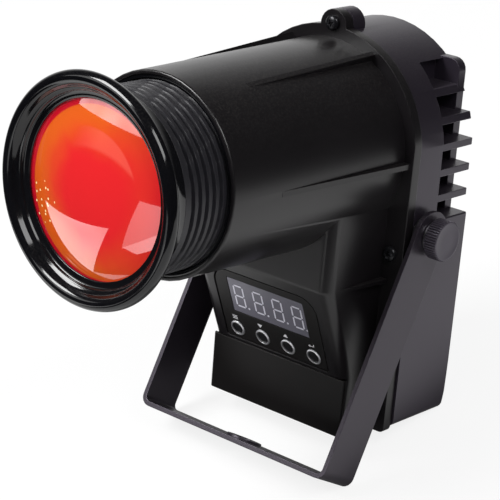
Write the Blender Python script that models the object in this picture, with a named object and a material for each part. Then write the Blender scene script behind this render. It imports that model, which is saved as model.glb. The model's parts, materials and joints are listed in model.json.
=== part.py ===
"""Pinspot light for a stage: a moulded barrel and control box, a finned rear housing, a screw-out
lens ring and a U bracket held by two clamp knobs. It stands nose-up on the bracket's heel and the
rear housing's bottom edge, as it does on a table.

Sizes are in metres. The light is modelled in its own frame, which the empty "light" carries:
x to the right seen from the front, y up, z forward along the optical axis, with the origin on
that axis at the flange's front face.
"""
import math

import bmesh
import bpy
from mathutils import Matrix, Vector

MM = 0.001

# Clearances
FIT = 0.3 * MM
SLIDING_FIT = 0.35 * MM

# How far a cutter runs on past the face it cuts through, and a union's helper into its neighbour
OVERCUT = 2.0 * MM
OVERLAP = 1.0 * MM

# Facets round a full turn
FINE = 48
MEDIUM = 24
SMALL = 16
TINY = 10

# Lens: its radius drives the lens ring, the sleeve, the barrel and the flange
LENS_RADIUS = 42.3 * MM
LENS_LEDGE = 1.2 * MM
LENS_OPENING = LENS_RADIUS - LENS_LEDGE
LENS_EDGE = 3.0 * MM
LENS_FRONT_RISE = 7.0 * MM
LENS_BACK_RISE = 4.0 * MM

# Focus sleeve behind the lens ring
SLEEVE_SHOULDER = 1.9 * MM
SLEEVE_WALL = 4.6 * MM
SLEEVE_LENGTH = 55.0 * MM
SLEEVE_BEVEL = 0.8 * MM
SLEEVE_RADIUS = LENS_RADIUS + SLEEVE_SHOULDER
SLEEVE_BORE = SLEEVE_RADIUS - SLEEVE_WALL
SPIGOT_LENGTH = 2.6 * MM
RETAINER_LENGTH = 3.2 * MM
SEAL_THICKNESS = 1.2 * MM
SEAL_LEDGE = 0.6 * MM
SEAL_INSET = 0.4 * MM

# Barrel
BARREL_LENGTH = 120.4 * MM
THREAD_WALL = 4.25 * MM
BARREL_TAPER = 2.1 * MM
BARREL_FRONT_RADIUS = SLEEVE_RADIUS + SLIDING_FIT + THREAD_WALL
BARREL_ROOT_RADIUS = BARREL_FRONT_RADIUS + BARREL_TAPER
BARREL_LIP_WALL = 2.0 * MM
BARREL_LIP_BEVEL = 0.6 * MM
THREAD_SEAT_DEPTH = 9.0 * MM
THREAD_SEAT_LENGTH = 26.0 * MM
RIB_THICKNESS = 2.6 * MM
RIB_HEIGHT = 3.8 * MM
RIB_LENGTH = 88.0 * MM
RIB_ANGLES = (-2.0, 61.5, 118.5, 182.0)

# Lens ring, measured forward of the flange face
RING_STANDOFF = 26.6 * MM
RING_LENGTH = 19.0 * MM
RING_FLARE = 11.9 * MM
RING_LIP = 3.6 * MM
RING_BACK = BARREL_LENGTH + RING_STANDOFF
RING_FRONT = RING_BACK + RING_LENGTH
RING_RADIUS = LENS_RADIUS + RING_FLARE
LENS_SET_BACK = 8.0 * MM
LENS_EDGE_FRONT = RING_FRONT - LENS_SET_BACK
# The ring's inner step as (out from the lens opening, forward of the lens edge)
RING_STEP = (
    (0.0, 1.2 * MM),
    (2.2 * MM, 1.5 * MM),
    (2.8 * MM, 2.6 * MM),
    (5.6 * MM, 4.3 * MM),
)
NECK_STEP = 0.3 * MM
NECK_BULGE = 1.2 * MM
NECK_BULGE_BACK = 1.5 * MM

# Control panel, measured along the slope from the brow
WINDOW_WIDTH = 50.6 * MM
WINDOW_HEIGHT = 22.1 * MM
WINDOW_THICKNESS = 1.4 * MM
WINDOW_SINK = 0.2 * MM
WINDOW_CORNER = 0.5 * MM
BUTTON_NAMES = ("menu", "down", "up", "enter")
BUTTON_PITCH = 16.9 * MM
BUTTON_RADIUS = 3.3 * MM
BUTTON_EDGE = 0.5 * MM
BUTTON_SINK = 0.3 * MM
BUTTON_COLLAR = 4.3 * MM
BUTTON_COLLAR_DROP = 0.5 * MM
BUTTON_COLLAR_THICKNESS = 1.0 * MM
BUTTON_STEM = 1.6 * MM
BUTTON_STEM_REACH = 1.8 * MM
SWITCH_BORE_SPARE = 0.9 * MM
BUTTON_RING_RADIUS = 4.5 * MM
BUTTON_RING_HEIGHT = 1.9 * MM
BUTTON_RING_RISE = 0.4 * MM
POCKET_START = 6.6 * MM
POCKET_SIDE_MARGIN = 4.15 * MM
POCKET_FOOT_MARGIN = 6.7 * MM
POCKET_CORNER = 10.0 * MM
POCKET_FOOT_CORNER = 1.5 * MM
POCKET_DEPTH = 1.8 * MM
WINDOW_MARGIN = 4.7 * MM
BUTTON_MARGIN = 11.3 * MM
WINDOW_START = POCKET_START + WINDOW_MARGIN
BUTTON_LINE = WINDOW_START + WINDOW_HEIGHT + BUTTON_MARGIN
POCKET_HALF_WIDTH = (len(BUTTON_NAMES) - 1) / 2 * BUTTON_PITCH + BUTTON_RING_RADIUS + POCKET_SIDE_MARGIN
POCKET_END = BUTTON_LINE + POCKET_FOOT_MARGIN
PANEL_LEDGE = 2.4 * MM
PANEL_THICKNESS = 1.2 * MM
MODULE_SIDE_INSET = 0.15 * MM
MODULE_END_INSET = 1.55 * MM
MODULE_DEPTH = 7.0 * MM
BOARD_THICKNESS = 1.6 * MM
BOARD_CORNER = 1.0 * MM
SWITCH_WIDTH = 6.0 * MM
SWITCH_HEIGHT = 3.6 * MM
CONTROL_BOARD_OVERHANG = 3.0 * MM
CONTROL_BOARD_INSET = 0.9 * MM
CONTROL_BOARD_HALF_WIDTH = POCKET_HALF_WIDTH + CONTROL_BOARD_OVERHANG
CONTROL_BOARD_START = POCKET_START + CONTROL_BOARD_INSET
CONTROL_BOARD_END = POCKET_END - CONTROL_BOARD_INSET
BOARD_POST_RADIUS = 2.2 * MM
BOARD_POST_INSET = 2.7 * MM

# Control box on the front housing, hung under the barrel and sized round the control panel
BOX_SIDE_MARGIN = 10.0 * MM
BOX_FRONT = 41.5 * MM
BROW_DROP = 11.4 * MM
SLOPE_LEAN = 22.57
SLOPE_FOOT_MARGIN = 1.2 * MM
BOX_FOOT_HEIGHT = 31.1 * MM
BOX_HALF_WIDTH = POCKET_HALF_WIDTH + BOX_SIDE_MARGIN
BROW_HEIGHT = -BARREL_ROOT_RADIUS - BROW_DROP
SLOPE_LENGTH = POCKET_END + SLOPE_FOOT_MARGIN
PANEL_FRONT = BOX_FRONT - SLOPE_LENGTH * math.sin(math.radians(SLOPE_LEAN))
SLOPE_FOOT = BROW_HEIGHT - SLOPE_LENGTH * math.cos(math.radians(SLOPE_LEAN))
BOX_BOTTOM = SLOPE_FOOT - BOX_FOOT_HEIGHT
BOX_TOP = -20.0 * MM
BOX_ROOT = 3.0 * MM
BOX_WALL = 3.0 * MM
BOX_CORNER = 6.0 * MM
BOX_FOOT_CORNER = 2.0 * MM
CORNER_BLEND = 2.4 * MM
BROW_RADIUS = 5.0 * MM
BOX_CAVITY_TOP = -24.0 * MM
SIDE_RIB_HEIGHT = 4.0 * MM
SIDE_RIB_LENGTH = 33.0 * MM
SIDE_RIB_LEVEL = BROW_HEIGHT + 0.3 * MM
SIDE_RIB_THICKNESS = 2.0 * MM

# Lower front panel
LOWER_PANEL_MARGIN = 0.5 * MM
LOWER_PANEL_THICKNESS = 2.0 * MM
LOWER_PANEL_CORNER = 1.8 * MM

# Screws that close the housings
SCREW_RADIUS = 1.6 * MM
SCREW_LENGTH = 13.0 * MM
SCREW_HEAD_RADIUS = 3.9 * MM
SCREW_HEAD_HEIGHT = 2.4 * MM
SCREW_TIP = 1.0 * MM
SCREW_SIDE_MARGIN = 4.3 * MM
SCREW_ACROSS = BOX_HALF_WIDTH + SCREW_SIDE_MARGIN

# Flange, shared outline of the two housings
FLANGE_RIM = 6.1 * MM
FLANGE_THICKNESS = 5.8 * MM
FLANGE_FOOT_MARGIN = 6.5 * MM
FLANGE_CORNER = 3.0 * MM
BOX_OVERHANG = 0.5 * MM
FLANGE_RADIUS = BARREL_ROOT_RADIUS + FLANGE_RIM
FLANGE_FOOT_HALF_WIDTH = SCREW_ACROSS + FLANGE_FOOT_MARGIN
FLANGE_BOTTOM = BOX_BOTTOM + BOX_OVERHANG
LUG_RADIUS = 8.2 * MM
LUG_SINK = 0.4 * MM
LUG_HEIGHT = FLANGE_RADIUS - LUG_SINK
LUG_DEPTH = 9.0 * MM
LUG_FLARE = 8.0 * MM

# Rear housing
REAR_DEPTH = 48.5 * MM
REAR_STEP = 2.0 * MM
REAR_DRAFT = 1.0 * MM
BAND_STEP = 1.1 * MM
BAND_DEPTH = 24.6 * MM
BAND_SKIRT = 20.0 * MM
BAND_RADIUS = FLANGE_RADIUS - BAND_STEP
REAR_BOX_OVERHANG = 2.2 * MM
REAR_BOX_HALF_WIDTH = max(FLANGE_RADIUS, FLANGE_FOOT_HALF_WIDTH + REAR_BOX_OVERHANG)
REAR_BOX_FOOT_HALF_WIDTH = REAR_BOX_HALF_WIDTH - REAR_DRAFT
REAR_BOX_TOP = -32.7 * MM
REAR_BOTTOM = FLANGE_BOTTOM + REAR_STEP
REAR_CORNER = 4.0 * MM
REAR_SHOULDER_CORNER = 0.8 * MM
HEEL_ROUND = 2.0 * MM
REAR_WALL = 3.0 * MM

# Cooling fins, in from the band's outside, and the plate that closes their backs
FIN_COUNT = 5
FIN_PITCH = 12.95 * MM
FIN_THICKNESS = 3.7 * MM
CAP_HEIGHT = 13.4 * MM
TOP_SLOT = 11.0 * MM
SLOT_DEPTH = 23.9 * MM
PLATE_INSET = 8.9 * MM
PLATE_THICKNESS = 5.0 * MM
PLATE_STEP = 0.6 * MM
PLATE_CORNER = 6.0 * MM
PLATE_RISE = 1.3 * MM
CAP_LEVEL = BAND_RADIUS - CAP_HEIGHT
TOP_FIN = CAP_LEVEL - TOP_SLOT
SLOT_FLOOR = BAND_RADIUS - SLOT_DEPTH
PLATE_HALF_WIDTH = BAND_RADIUS - PLATE_INSET
PLATE_TOP = CAP_LEVEL + PLATE_RISE

# Where the screws go, seen from the front
TOP_SCREW = FLANGE_RADIUS + 1.0 * MM
UPPER_SCREWS = -47.7 * MM
LOWER_SCREWS = REAR_BOTTOM + 9.5 * MM
SCREW_PLACES = {
    "top": (0.0, TOP_SCREW),
    "left": (-SCREW_ACROSS, UPPER_SCREWS),
    "right": (SCREW_ACROSS, UPPER_SCREWS),
    "lower_left": (-SCREW_ACROSS, LOWER_SCREWS),
    "lower_right": (SCREW_ACROSS, LOWER_SCREWS),
}

# Light source
EMITTER_POCKET_RADIUS = BARREL_FRONT_RADIUS - 1.8 * MM
EMITTER_POCKET_DEPTH = 4.0 * MM
PAD_RADIUS = 24.0 * MM
PAD_THICKNESS = 0.8 * MM
LED_BOARD_RADIUS = 25.0 * MM
EMITTER_WIDTH = 19.0 * MM
EMITTER_HEIGHT = 1.8 * MM
EMITTER_CORNER = 1.5 * MM
REFLECTOR_FOOT = 15.0 * MM
REFLECTOR_MOUTH = 33.0 * MM
REFLECTOR_LENGTH = 38.0 * MM
REFLECTOR_WALL = 1.4 * MM
REFLECTOR_CURVE = 0.6

# Clamps: the pivot lies just under the top of the rear box
PIVOT_DROP = 5.4 * MM
PIVOT_BACK = 14.1 * MM
PIVOT_HEIGHT = REAR_BOX_TOP - PIVOT_DROP
STUD_RADIUS = 3.0 * MM
INSERT_WALL = 2.0 * MM
INSERT_RADIUS = STUD_RADIUS + INSERT_WALL
INSERT_LENGTH = 10.4 * MM
INSERT_SINK = 0.4 * MM
INSERT_END_GAP = 0.9 * MM
STUD_END_GAP = 1.4 * MM
SPACER_RADIUS = 11.0 * MM
SPACER_THICKNESS = 1.6 * MM
WASHER_RADIUS = 8.0 * MM
WASHER_THICKNESS = 1.5 * MM
KNOB_RADIUS = 10.25 * MM
KNOB_LENGTH = 7.5 * MM
KNOB_TEETH = 48
KNOB_TOOTH = 0.45 * MM
KNOB_BORE_DEPTH = 5.0 * MM

# Bracket
BRACKET_TILT = 26.4
BRACKET_THICKNESS = 2.5 * MM
BRACKET_INSIDE = REAR_BOX_HALF_WIDTH + SPACER_THICKNESS + 2 * FIT
BRACKET_HALF_WIDTH = BRACKET_INSIDE + BRACKET_THICKNESS
STRAP_WIDTH = 25.4 * MM
BRACKET_DROP = 129.9 * MM
BRACKET_BEND = 5.5 * MM
SEAT_RADIUS = 9.3 * MM
SEAT_RISE = 1.2 * MM
SEAT_HOLE = 4.25 * MM

# Space inside the rear box, kept off the inserts above and the screw bosses below
CAVITY_SIDE_WALL = 4.0 * MM
INSERT_BOSS = 5.6 * MM
CAVITY_TOP = -37.0 * MM
CAVITY_SHOULDER = UPPER_SCREWS - 8.3 * MM
SCREW_BOSS = 6.3 * MM
SCREW_BOSS_RISE = 8.0 * MM
CAVITY_NARROW = REAR_BOX_HALF_WIDTH - INSERT_LENGTH - INSERT_BOSS
CAVITY_WIDE = REAR_BOX_HALF_WIDTH - CAVITY_SIDE_WALL
CAVITY_FOOT = LOWER_SCREWS + SCREW_BOSS_RISE
CAVITY_FOOT_HALF_WIDTH = SCREW_ACROSS - SCREW_BOSS

# Sockets on the back of the rear box
SOCKET_RISE = 73.5 * MM
SOCKET_LINE = REAR_BOTTOM + SOCKET_RISE
SOCKET_OFFSET = 27.0 * MM
SOCKET_FLANGE_WIDTH = 26.0 * MM
SOCKET_FLANGE_HEIGHT = 31.0 * MM
SOCKET_FLANGE_THICKNESS = 2.0 * MM
SOCKET_FLANGE_CORNER = 2.5 * MM
SOCKET_BODY_RADIUS = 11.8 * MM
SOCKET_BODY_LENGTH = 20.0 * MM
SOCKET_MOUTH_RADIUS = 9.4 * MM
SOCKET_MOUTH_DEPTH = 13.0 * MM
SOCKET_RING_GROOVE = 0.9 * MM
PIN_RADIUS = 1.2 * MM
PIN_HOLE_FIT = 0.2 * MM
PIN_CIRCLE = 4.5 * MM
PIN_ANGLES = (30.0, 150.0, 270.0)
PIN_RECESS = 4.0 * MM
PIN_HOLE_DEPTH = 8.0 * MM
INLET_RISE = 27.5 * MM
INLET_PLACE = (-22.0 * MM, REAR_BOTTOM + INLET_RISE)
INLET_WIDTH = 30.0 * MM
INLET_HEIGHT = 23.0 * MM
INLET_CUT_SHARE = 0.28
INLET_CORNER = 0.8 * MM
INLET_FLANGE = 3.0 * MM
INLET_FLANGE_THICKNESS = 2.2 * MM
INLET_DEPTH = 19.0 * MM
INLET_MOUTH_WIDTH = 24.4 * MM
INLET_MOUTH_HEIGHT = 16.4 * MM
INLET_MOUTH_DEPTH = 15.0 * MM
BLADE_WIDTH = 2.0 * MM
BLADE_HEIGHT = 4.0 * MM
BLADE_CORNER = 0.3 * MM
BLADE_PITCH = 7.0 * MM
BLADE_RECESS = 5.5 * MM
MIDDLE_BLADE_DROP = 1.8 * MM
OUTER_BLADE_RISE = 1.2 * MM
FUSE_PLACE = (30.0 * MM, REAR_BOTTOM + INLET_RISE)
FUSE_CAP_RADIUS = 8.0 * MM
FUSE_CAP_HEIGHT = 6.0 * MM
FUSE_CAP_EDGE = 0.8 * MM
FUSE_SLOT_WIDTH = 1.6 * MM
FUSE_SLOT_LENGTH = 9.0 * MM
FUSE_SLOT_DEPTH = 1.2 * MM
FUSE_BODY_RADIUS = 6.2 * MM
FUSE_BODY_LENGTH = 24.0 * MM

# Power supply inside the rear box
DRIVER_RISE = 8.0 * MM
DRIVER_SIDE_GAP = 2.5 * MM
DRIVER_FRONT_GAP = 2.9 * MM
DRIVER_BACK_GAP = 2.5 * MM
DRIVER_HALF_WIDTH = CAVITY_FOOT_HALF_WIDTH - DRIVER_SIDE_GAP
DRIVER_LEVEL = REAR_BOTTOM + DRIVER_RISE
DRIVER_FRONT = -FLANGE_THICKNESS - FIT - DRIVER_FRONT_GAP
DRIVER_BACK = -REAR_DEPTH + REAR_WALL + DRIVER_BACK_GAP
TRANSFORMER_SIZE = (20.0 * MM, 17.0 * MM, 19.0 * MM)
TRANSFORMER_PLACE = 5.0 * MM
TRANSFORMER_CORNER = 1.0 * MM
CAPACITOR_RADIUS = 5.0 * MM
CAPACITOR_HEIGHT = 10.0 * MM
CAPACITOR_ACROSS = FUSE_PLACE[0]
CAPACITOR_INSET = 10.0 * MM
POST_RADIUS = 3.0 * MM
POST_INSET = 5.0 * MM


def clear_scene():
    for obj in list(bpy.data.objects):
        bpy.data.objects.remove(obj, do_unlink=True)


def make_material(name, colour, roughness, metallic=0.0):
    material = bpy.data.materials.new(name)
    material.use_nodes = True
    shader = material.node_tree.nodes["Principled BSDF"]
    shader.inputs["Base Color"].default_value = (*colour, 1.0)
    shader.inputs["Roughness"].default_value = roughness
    shader.inputs["Metallic"].default_value = metallic
    return material


def make_materials():
    return {
        "housing": make_material("black_semi_gloss_plastic", (0.03, 0.03, 0.034), 0.32),
        "heat_sink": make_material("black_cast_metal", (0.05, 0.05, 0.054), 0.5, 0.2),
        "bezel": make_material("black_gloss_plastic", (0.012, 0.012, 0.016), 0.12),
        "sleeve": make_material("black_matt_plastic", (0.045, 0.045, 0.05), 0.55),
        "panel": make_material("black_panel", (0.02, 0.02, 0.022), 0.35),
        "window": make_material("grey_window", (0.45, 0.46, 0.5), 0.15),
        "ring": make_material("bright_ring", (0.85, 0.85, 0.86), 0.2, 0.6),
        "lens": make_material("red_lens", (0.9, 0.16, 0.1), 0.05),
        "strap": make_material("painted_steel", (0.09, 0.09, 0.095), 0.45, 0.3),
        "knob": make_material("knob_plastic", (0.06, 0.06, 0.065), 0.5),
        "steel": make_material("zinc_plated_steel", (0.6, 0.6, 0.6), 0.3, 1.0),
        "dark_screw": make_material("black_steel", (0.05, 0.05, 0.055), 0.3, 0.8),
        "brass": make_material("brass", (0.72, 0.55, 0.25), 0.3, 1.0),
        "board": make_material("circuit_board", (0.03, 0.2, 0.08), 0.5),
        "white_board": make_material("white_metal_board", (0.85, 0.85, 0.83), 0.45),
        "emitter": make_material("emitter", (0.95, 0.8, 0.25), 0.3),
        "mirror": make_material("reflector_finish", (0.9, 0.9, 0.9), 0.08, 1.0),
        "pad": make_material("thermal_pad", (0.35, 0.45, 0.6), 0.8),
        "rubber": make_material("black_rubber", (0.02, 0.02, 0.02), 0.8),
        "component": make_material("component_black", (0.03, 0.03, 0.03), 0.4),
        "winding": make_material("transformer_tape", (0.8, 0.65, 0.15), 0.5),
    }


def circle_points(radius, count, centre=(0.0, 0.0), start=0.0, sweep=360.0):
    """Points round a circle, or along a part of it with both of its ends."""
    whole = abs(sweep) >= 360.0
    steps = count if whole else count + 1
    points = []
    for index in range(steps):
        angle = math.radians(start + sweep * index / count)
        points.append((centre[0] + radius * math.cos(angle), centre[1] + radius * math.sin(angle)))
    return points


def rounded_polygon(corners, radii, facets=5):
    """An outline, anticlockwise, whose corner arcs are tangent to both of their sides."""
    points = []
    count = len(corners)
    for index, corner in enumerate(corners):
        here = Vector(corner)
        back = (Vector(corners[index - 1]) - here).normalized()
        ahead = (Vector(corners[(index + 1) % count]) - here).normalized()
        radius = radii[index] if isinstance(radii, (list, tuple)) else radii
        if radius <= 0.0:
            points.append(tuple(here))
            continue
        half = back.angle(ahead) / 2
        reach = radius / math.tan(half)
        centre = here + (back + ahead).normalized() * (radius / math.sin(half))
        first = here + back * reach - centre
        last = here + ahead * reach - centre
        turn = first.angle_signed(last)
        for step in range(facets + 1):
            arm = first.copy()
            arm.rotate(Matrix.Rotation(-turn * step / facets, 2))
            points.append(tuple(centre + arm))
    return points


def rounded_rectangle(width, height, radius, centre=(0.0, 0.0), facets=5):
    x, y = centre
    corners = [
        (x - width / 2, y - height / 2),
        (x + width / 2, y - height / 2),
        (x + width / 2, y + height / 2),
        (x - width / 2, y + height / 2),
    ]
    return rounded_polygon(corners, radius, facets)


def keyhole(radius, shoulder_half_width, foot_half_width, bottom, corner):
    """The housings' outline: a round top whose sides run straight down to a flat foot."""
    start = math.degrees(math.acos(shoulder_half_width / radius))
    arc = circle_points(radius, FINE // 2, start=start, sweep=180.0 - 2 * start)
    foot = rounded_polygon(
        [(-foot_half_width, bottom), (foot_half_width, bottom), arc[0], arc[-1]], [corner, corner, 0, 0]
    )
    return foot[:-2] + arc


def lug_outline():
    """A screw ear at the top of the flange: a round nose that flares into the outline below."""
    nose = circle_points(LUG_RADIUS, 12, (0.0, LUG_HEIGHT), -10.0, 200.0)
    base = FLANGE_RADIUS - LUG_RADIUS
    return [(-LUG_RADIUS - LUG_FLARE, base), (LUG_RADIUS + LUG_FLARE, base)] + nose


def prism(outline, low, high, axes="xyz"):
    """A straight extrusion of an outline from low to high along the third of the named axes."""
    order = ["xyz".index(letter) for letter in axes]
    mesh = bmesh.new()
    rings = []
    for level in (low, high):
        ring = []
        for first, second in outline:
            place = [0.0, 0.0, 0.0]
            for value, axis in zip((first, second, level), order):
                place[axis] = value
            ring.append(mesh.verts.new(place))
        rings.append(ring)
    count = len(outline)
    mesh.faces.new(rings[0])
    mesh.faces.new(rings[1])
    for index in range(count):
        after = (index + 1) % count
        mesh.faces.new((rings[0][index], rings[0][after], rings[1][after], rings[1][index]))
    bmesh.ops.recalc_face_normals(mesh, faces=mesh.faces)
    return mesh


def lathe(profile, facets):
    """A turned solid about z from a closed profile of (radius, height) points."""
    mesh = bmesh.new()
    rings = []
    for radius, height in profile:
        if radius <= 0.0:
            rings.append([mesh.verts.new((0.0, 0.0, height))])
        else:
            rings.append([mesh.verts.new((x, y, height)) for x, y in circle_points(radius, facets)])
    for index, lower in enumerate(rings):
        upper = rings[(index + 1) % len(rings)]
        if len(lower) == 1 and len(upper) == 1:
            continue
        for step in range(facets):
            after = (step + 1) % facets
            corners = [lower[step % len(lower)], lower[after % len(lower)]]
            corners += [upper[after % len(upper)], upper[step % len(upper)]]
            mesh.faces.new(list(dict.fromkeys(corners)))
    bmesh.ops.recalc_face_normals(mesh, faces=mesh.faces)
    return mesh


def loft(rings):
    """A closed skin over rings that all have as many points."""
    mesh = bmesh.new()
    rows = [[mesh.verts.new(point) for point in ring] for ring in rings]
    count = len(rings[0])
    for lower, upper in zip(rows, rows[1:]):
        for index in range(count):
            after = (index + 1) % count
            mesh.faces.new((lower[index], lower[after], upper[after], upper[index]))
    mesh.faces.new(rows[0])
    mesh.faces.new(rows[-1])
    bmesh.ops.recalc_face_normals(mesh, faces=mesh.faces)
    return mesh


def disc(radius, low, high, facets, centre=(0.0, 0.0)):
    return prism(circle_points(radius, facets, centre), low, high)


def tube(outer, inner, low, high, facets):
    return lathe([(inner, low), (outer, low), (outer, high), (inner, high)], facets)


def join(*meshes):
    """One mesh of separate closed bodies, for a cutter that cuts in several places."""
    whole = bmesh.new()
    for mesh in meshes:
        data = bpy.data.meshes.new("joined")
        mesh.to_mesh(data)
        mesh.free()
        whole.from_mesh(data)
        bpy.data.meshes.remove(data)
    return whole


def place_object(name, mesh, parent, location=(0.0, 0.0, 0.0), rotation=(0.0, 0.0, 0.0)):
    data = bpy.data.meshes.new(name)
    mesh.to_mesh(data)
    mesh.free()
    obj = bpy.data.objects.new(name, data)
    bpy.context.scene.collection.objects.link(obj)
    obj.parent = parent
    obj.location = location
    obj.rotation_euler = rotation
    return obj


def add_part(name, mesh, material, parent, location=(0.0, 0.0, 0.0), rotation=(0.0, 0.0, 0.0)):
    obj = place_object(name, mesh, parent, location, rotation)
    obj.data.materials.append(material)
    obj.data.shade_smooth()
    obj.data.set_sharp_from_angle(angle=math.radians(28))
    return obj


def add_boolean(
    obj, mesh, operation, label, parent=None, location=(0.0, 0.0, 0.0), rotation=(0.0, 0.0, 0.0)
):
    """Joins to, or cuts from, a part with a hidden helper that sits in the part's parent's frame."""
    helper = place_object(f"{obj.name}_{label}", mesh, parent or obj.parent, location, rotation)
    helper.hide_render = True
    helper.display_type = "WIRE"
    modifier = obj.modifiers.new(label, "BOOLEAN")
    modifier.operation = operation
    modifier.solver = "EXACT"
    modifier.object = helper
    return modifier


def add_empty(name, parent, location=(0.0, 0.0, 0.0), rotation=(0.0, 0.0, 0.0)):
    empty = bpy.data.objects.new(name, None)
    empty.empty_display_size = 0.01
    bpy.context.scene.collection.objects.link(empty)
    empty.parent = parent
    empty.location = location
    empty.rotation_euler = rotation
    return empty


def flange_outline():
    return keyhole(
        FLANGE_RADIUS, FLANGE_RADIUS * 0.99, FLANGE_FOOT_HALF_WIDTH, FLANGE_BOTTOM, FLANGE_CORNER
    )


def barrel_radius(forward):
    share = min(max(forward / BARREL_LENGTH, 0.0), 1.0)
    return BARREL_ROOT_RADIUS + (BARREL_FRONT_RADIUS - BARREL_ROOT_RADIUS) * share


def control_box():
    """The box under the barrel, lofted up its sections: upright foot, sloped control face, brow.

    Its front corners are tight beside the lower panel and softer above it.
    """
    foot = (PANEL_FRONT, SLOPE_FOOT)
    brow = (BOX_FRONT, BROW_HEIGHT)
    line = rounded_polygon(
        [(PANEL_FRONT, BOX_BOTTOM), foot, brow, (BOX_FRONT, BOX_TOP)], [0, 0, BROW_RADIUS, 0], 4
    )
    sections = []
    for forward, height in line:
        sections.append((height, forward, BOX_FOOT_CORNER if forward <= PANEL_FRONT else BOX_CORNER))
        if (forward, height) == foot:
            rise = CORNER_BLEND / math.tan(slope_angle())
            sections.append((height + rise, forward + CORNER_BLEND, BOX_CORNER))
    rings = []
    for height, forward, corner in sections:
        half = BOX_HALF_WIDTH
        corners = [(-half, -BOX_ROOT), (half, -BOX_ROOT), (half, forward), (-half, forward)]
        outline = rounded_polygon(corners, [0, 0, corner, corner], 4)
        rings.append([(x, height, z) for x, z in outline])
    return loft(rings)


def box_hollow():
    """Side view of the space inside the control box as (forward, up), one wall in from its faces."""
    bend = BOX_WALL * math.tan(slope_angle() / 2)
    face = PANEL_FRONT - BOX_WALL - LOWER_PANEL_THICKNESS
    foot = SLOPE_FOOT - bend - LOWER_PANEL_THICKNESS / math.tan(slope_angle())
    back = -FLANGE_THICKNESS - OVERCUT
    return [
        (back, BOX_BOTTOM + BOX_WALL),
        (face, BOX_BOTTOM + BOX_WALL),
        (face, foot),
        (BOX_FRONT - BOX_WALL, BROW_HEIGHT + bend),
        (BOX_FRONT - BOX_WALL, BOX_CAVITY_TOP),
        (back, BOX_CAVITY_TOP),
    ]


def rib(length, root, height, thickness):
    """A thin tapering web as a wedge: full height at the flange, nothing at its tip."""
    sunk = root - BARREL_TAPER - OVERLAP
    outline = [(-OVERLAP, sunk), (length, sunk), (length, barrel_radius(length)), (0.0, root + height)]
    outline.append((-OVERLAP, root + height))
    return prism(outline, -thickness / 2, thickness / 2, "zxy")


def side_rib(side):
    reach = BOX_HALF_WIDTH + SIDE_RIB_HEIGHT
    inner = BOX_HALF_WIDTH - OVERLAP
    outline = [(-OVERLAP, inner), (SIDE_RIB_LENGTH, inner), (SIDE_RIB_LENGTH, BOX_HALF_WIDTH), (0.0, reach)]
    outline.append((-OVERLAP, reach))
    outline = [(forward, side * across) for forward, across in outline]
    low = SIDE_RIB_LEVEL - SIDE_RIB_THICKNESS / 2
    return prism(outline, low, low + SIDE_RIB_THICKNESS, "zxy")


def slope_angle():
    return math.radians(SLOPE_LEAN)


def pocket_outline(inset):
    """The control panel's outline in the slope's frame: x across, y down from the brow as minus."""
    half = POCKET_HALF_WIDTH - inset
    low = -POCKET_END + inset
    high = -POCKET_START - inset
    corners = [(-half, low), (half, low), (half, high), (-half, high)]
    foot = max(POCKET_FOOT_CORNER - inset, FIT)
    head = POCKET_CORNER - inset
    return rounded_polygon(corners, [foot, foot, head, head], 6)


def button_places():
    middle = (len(BUTTON_NAMES) - 1) / 2
    return [(BUTTON_PITCH * (index - middle), -BUTTON_LINE) for index in range(len(BUTTON_NAMES))]


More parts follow.
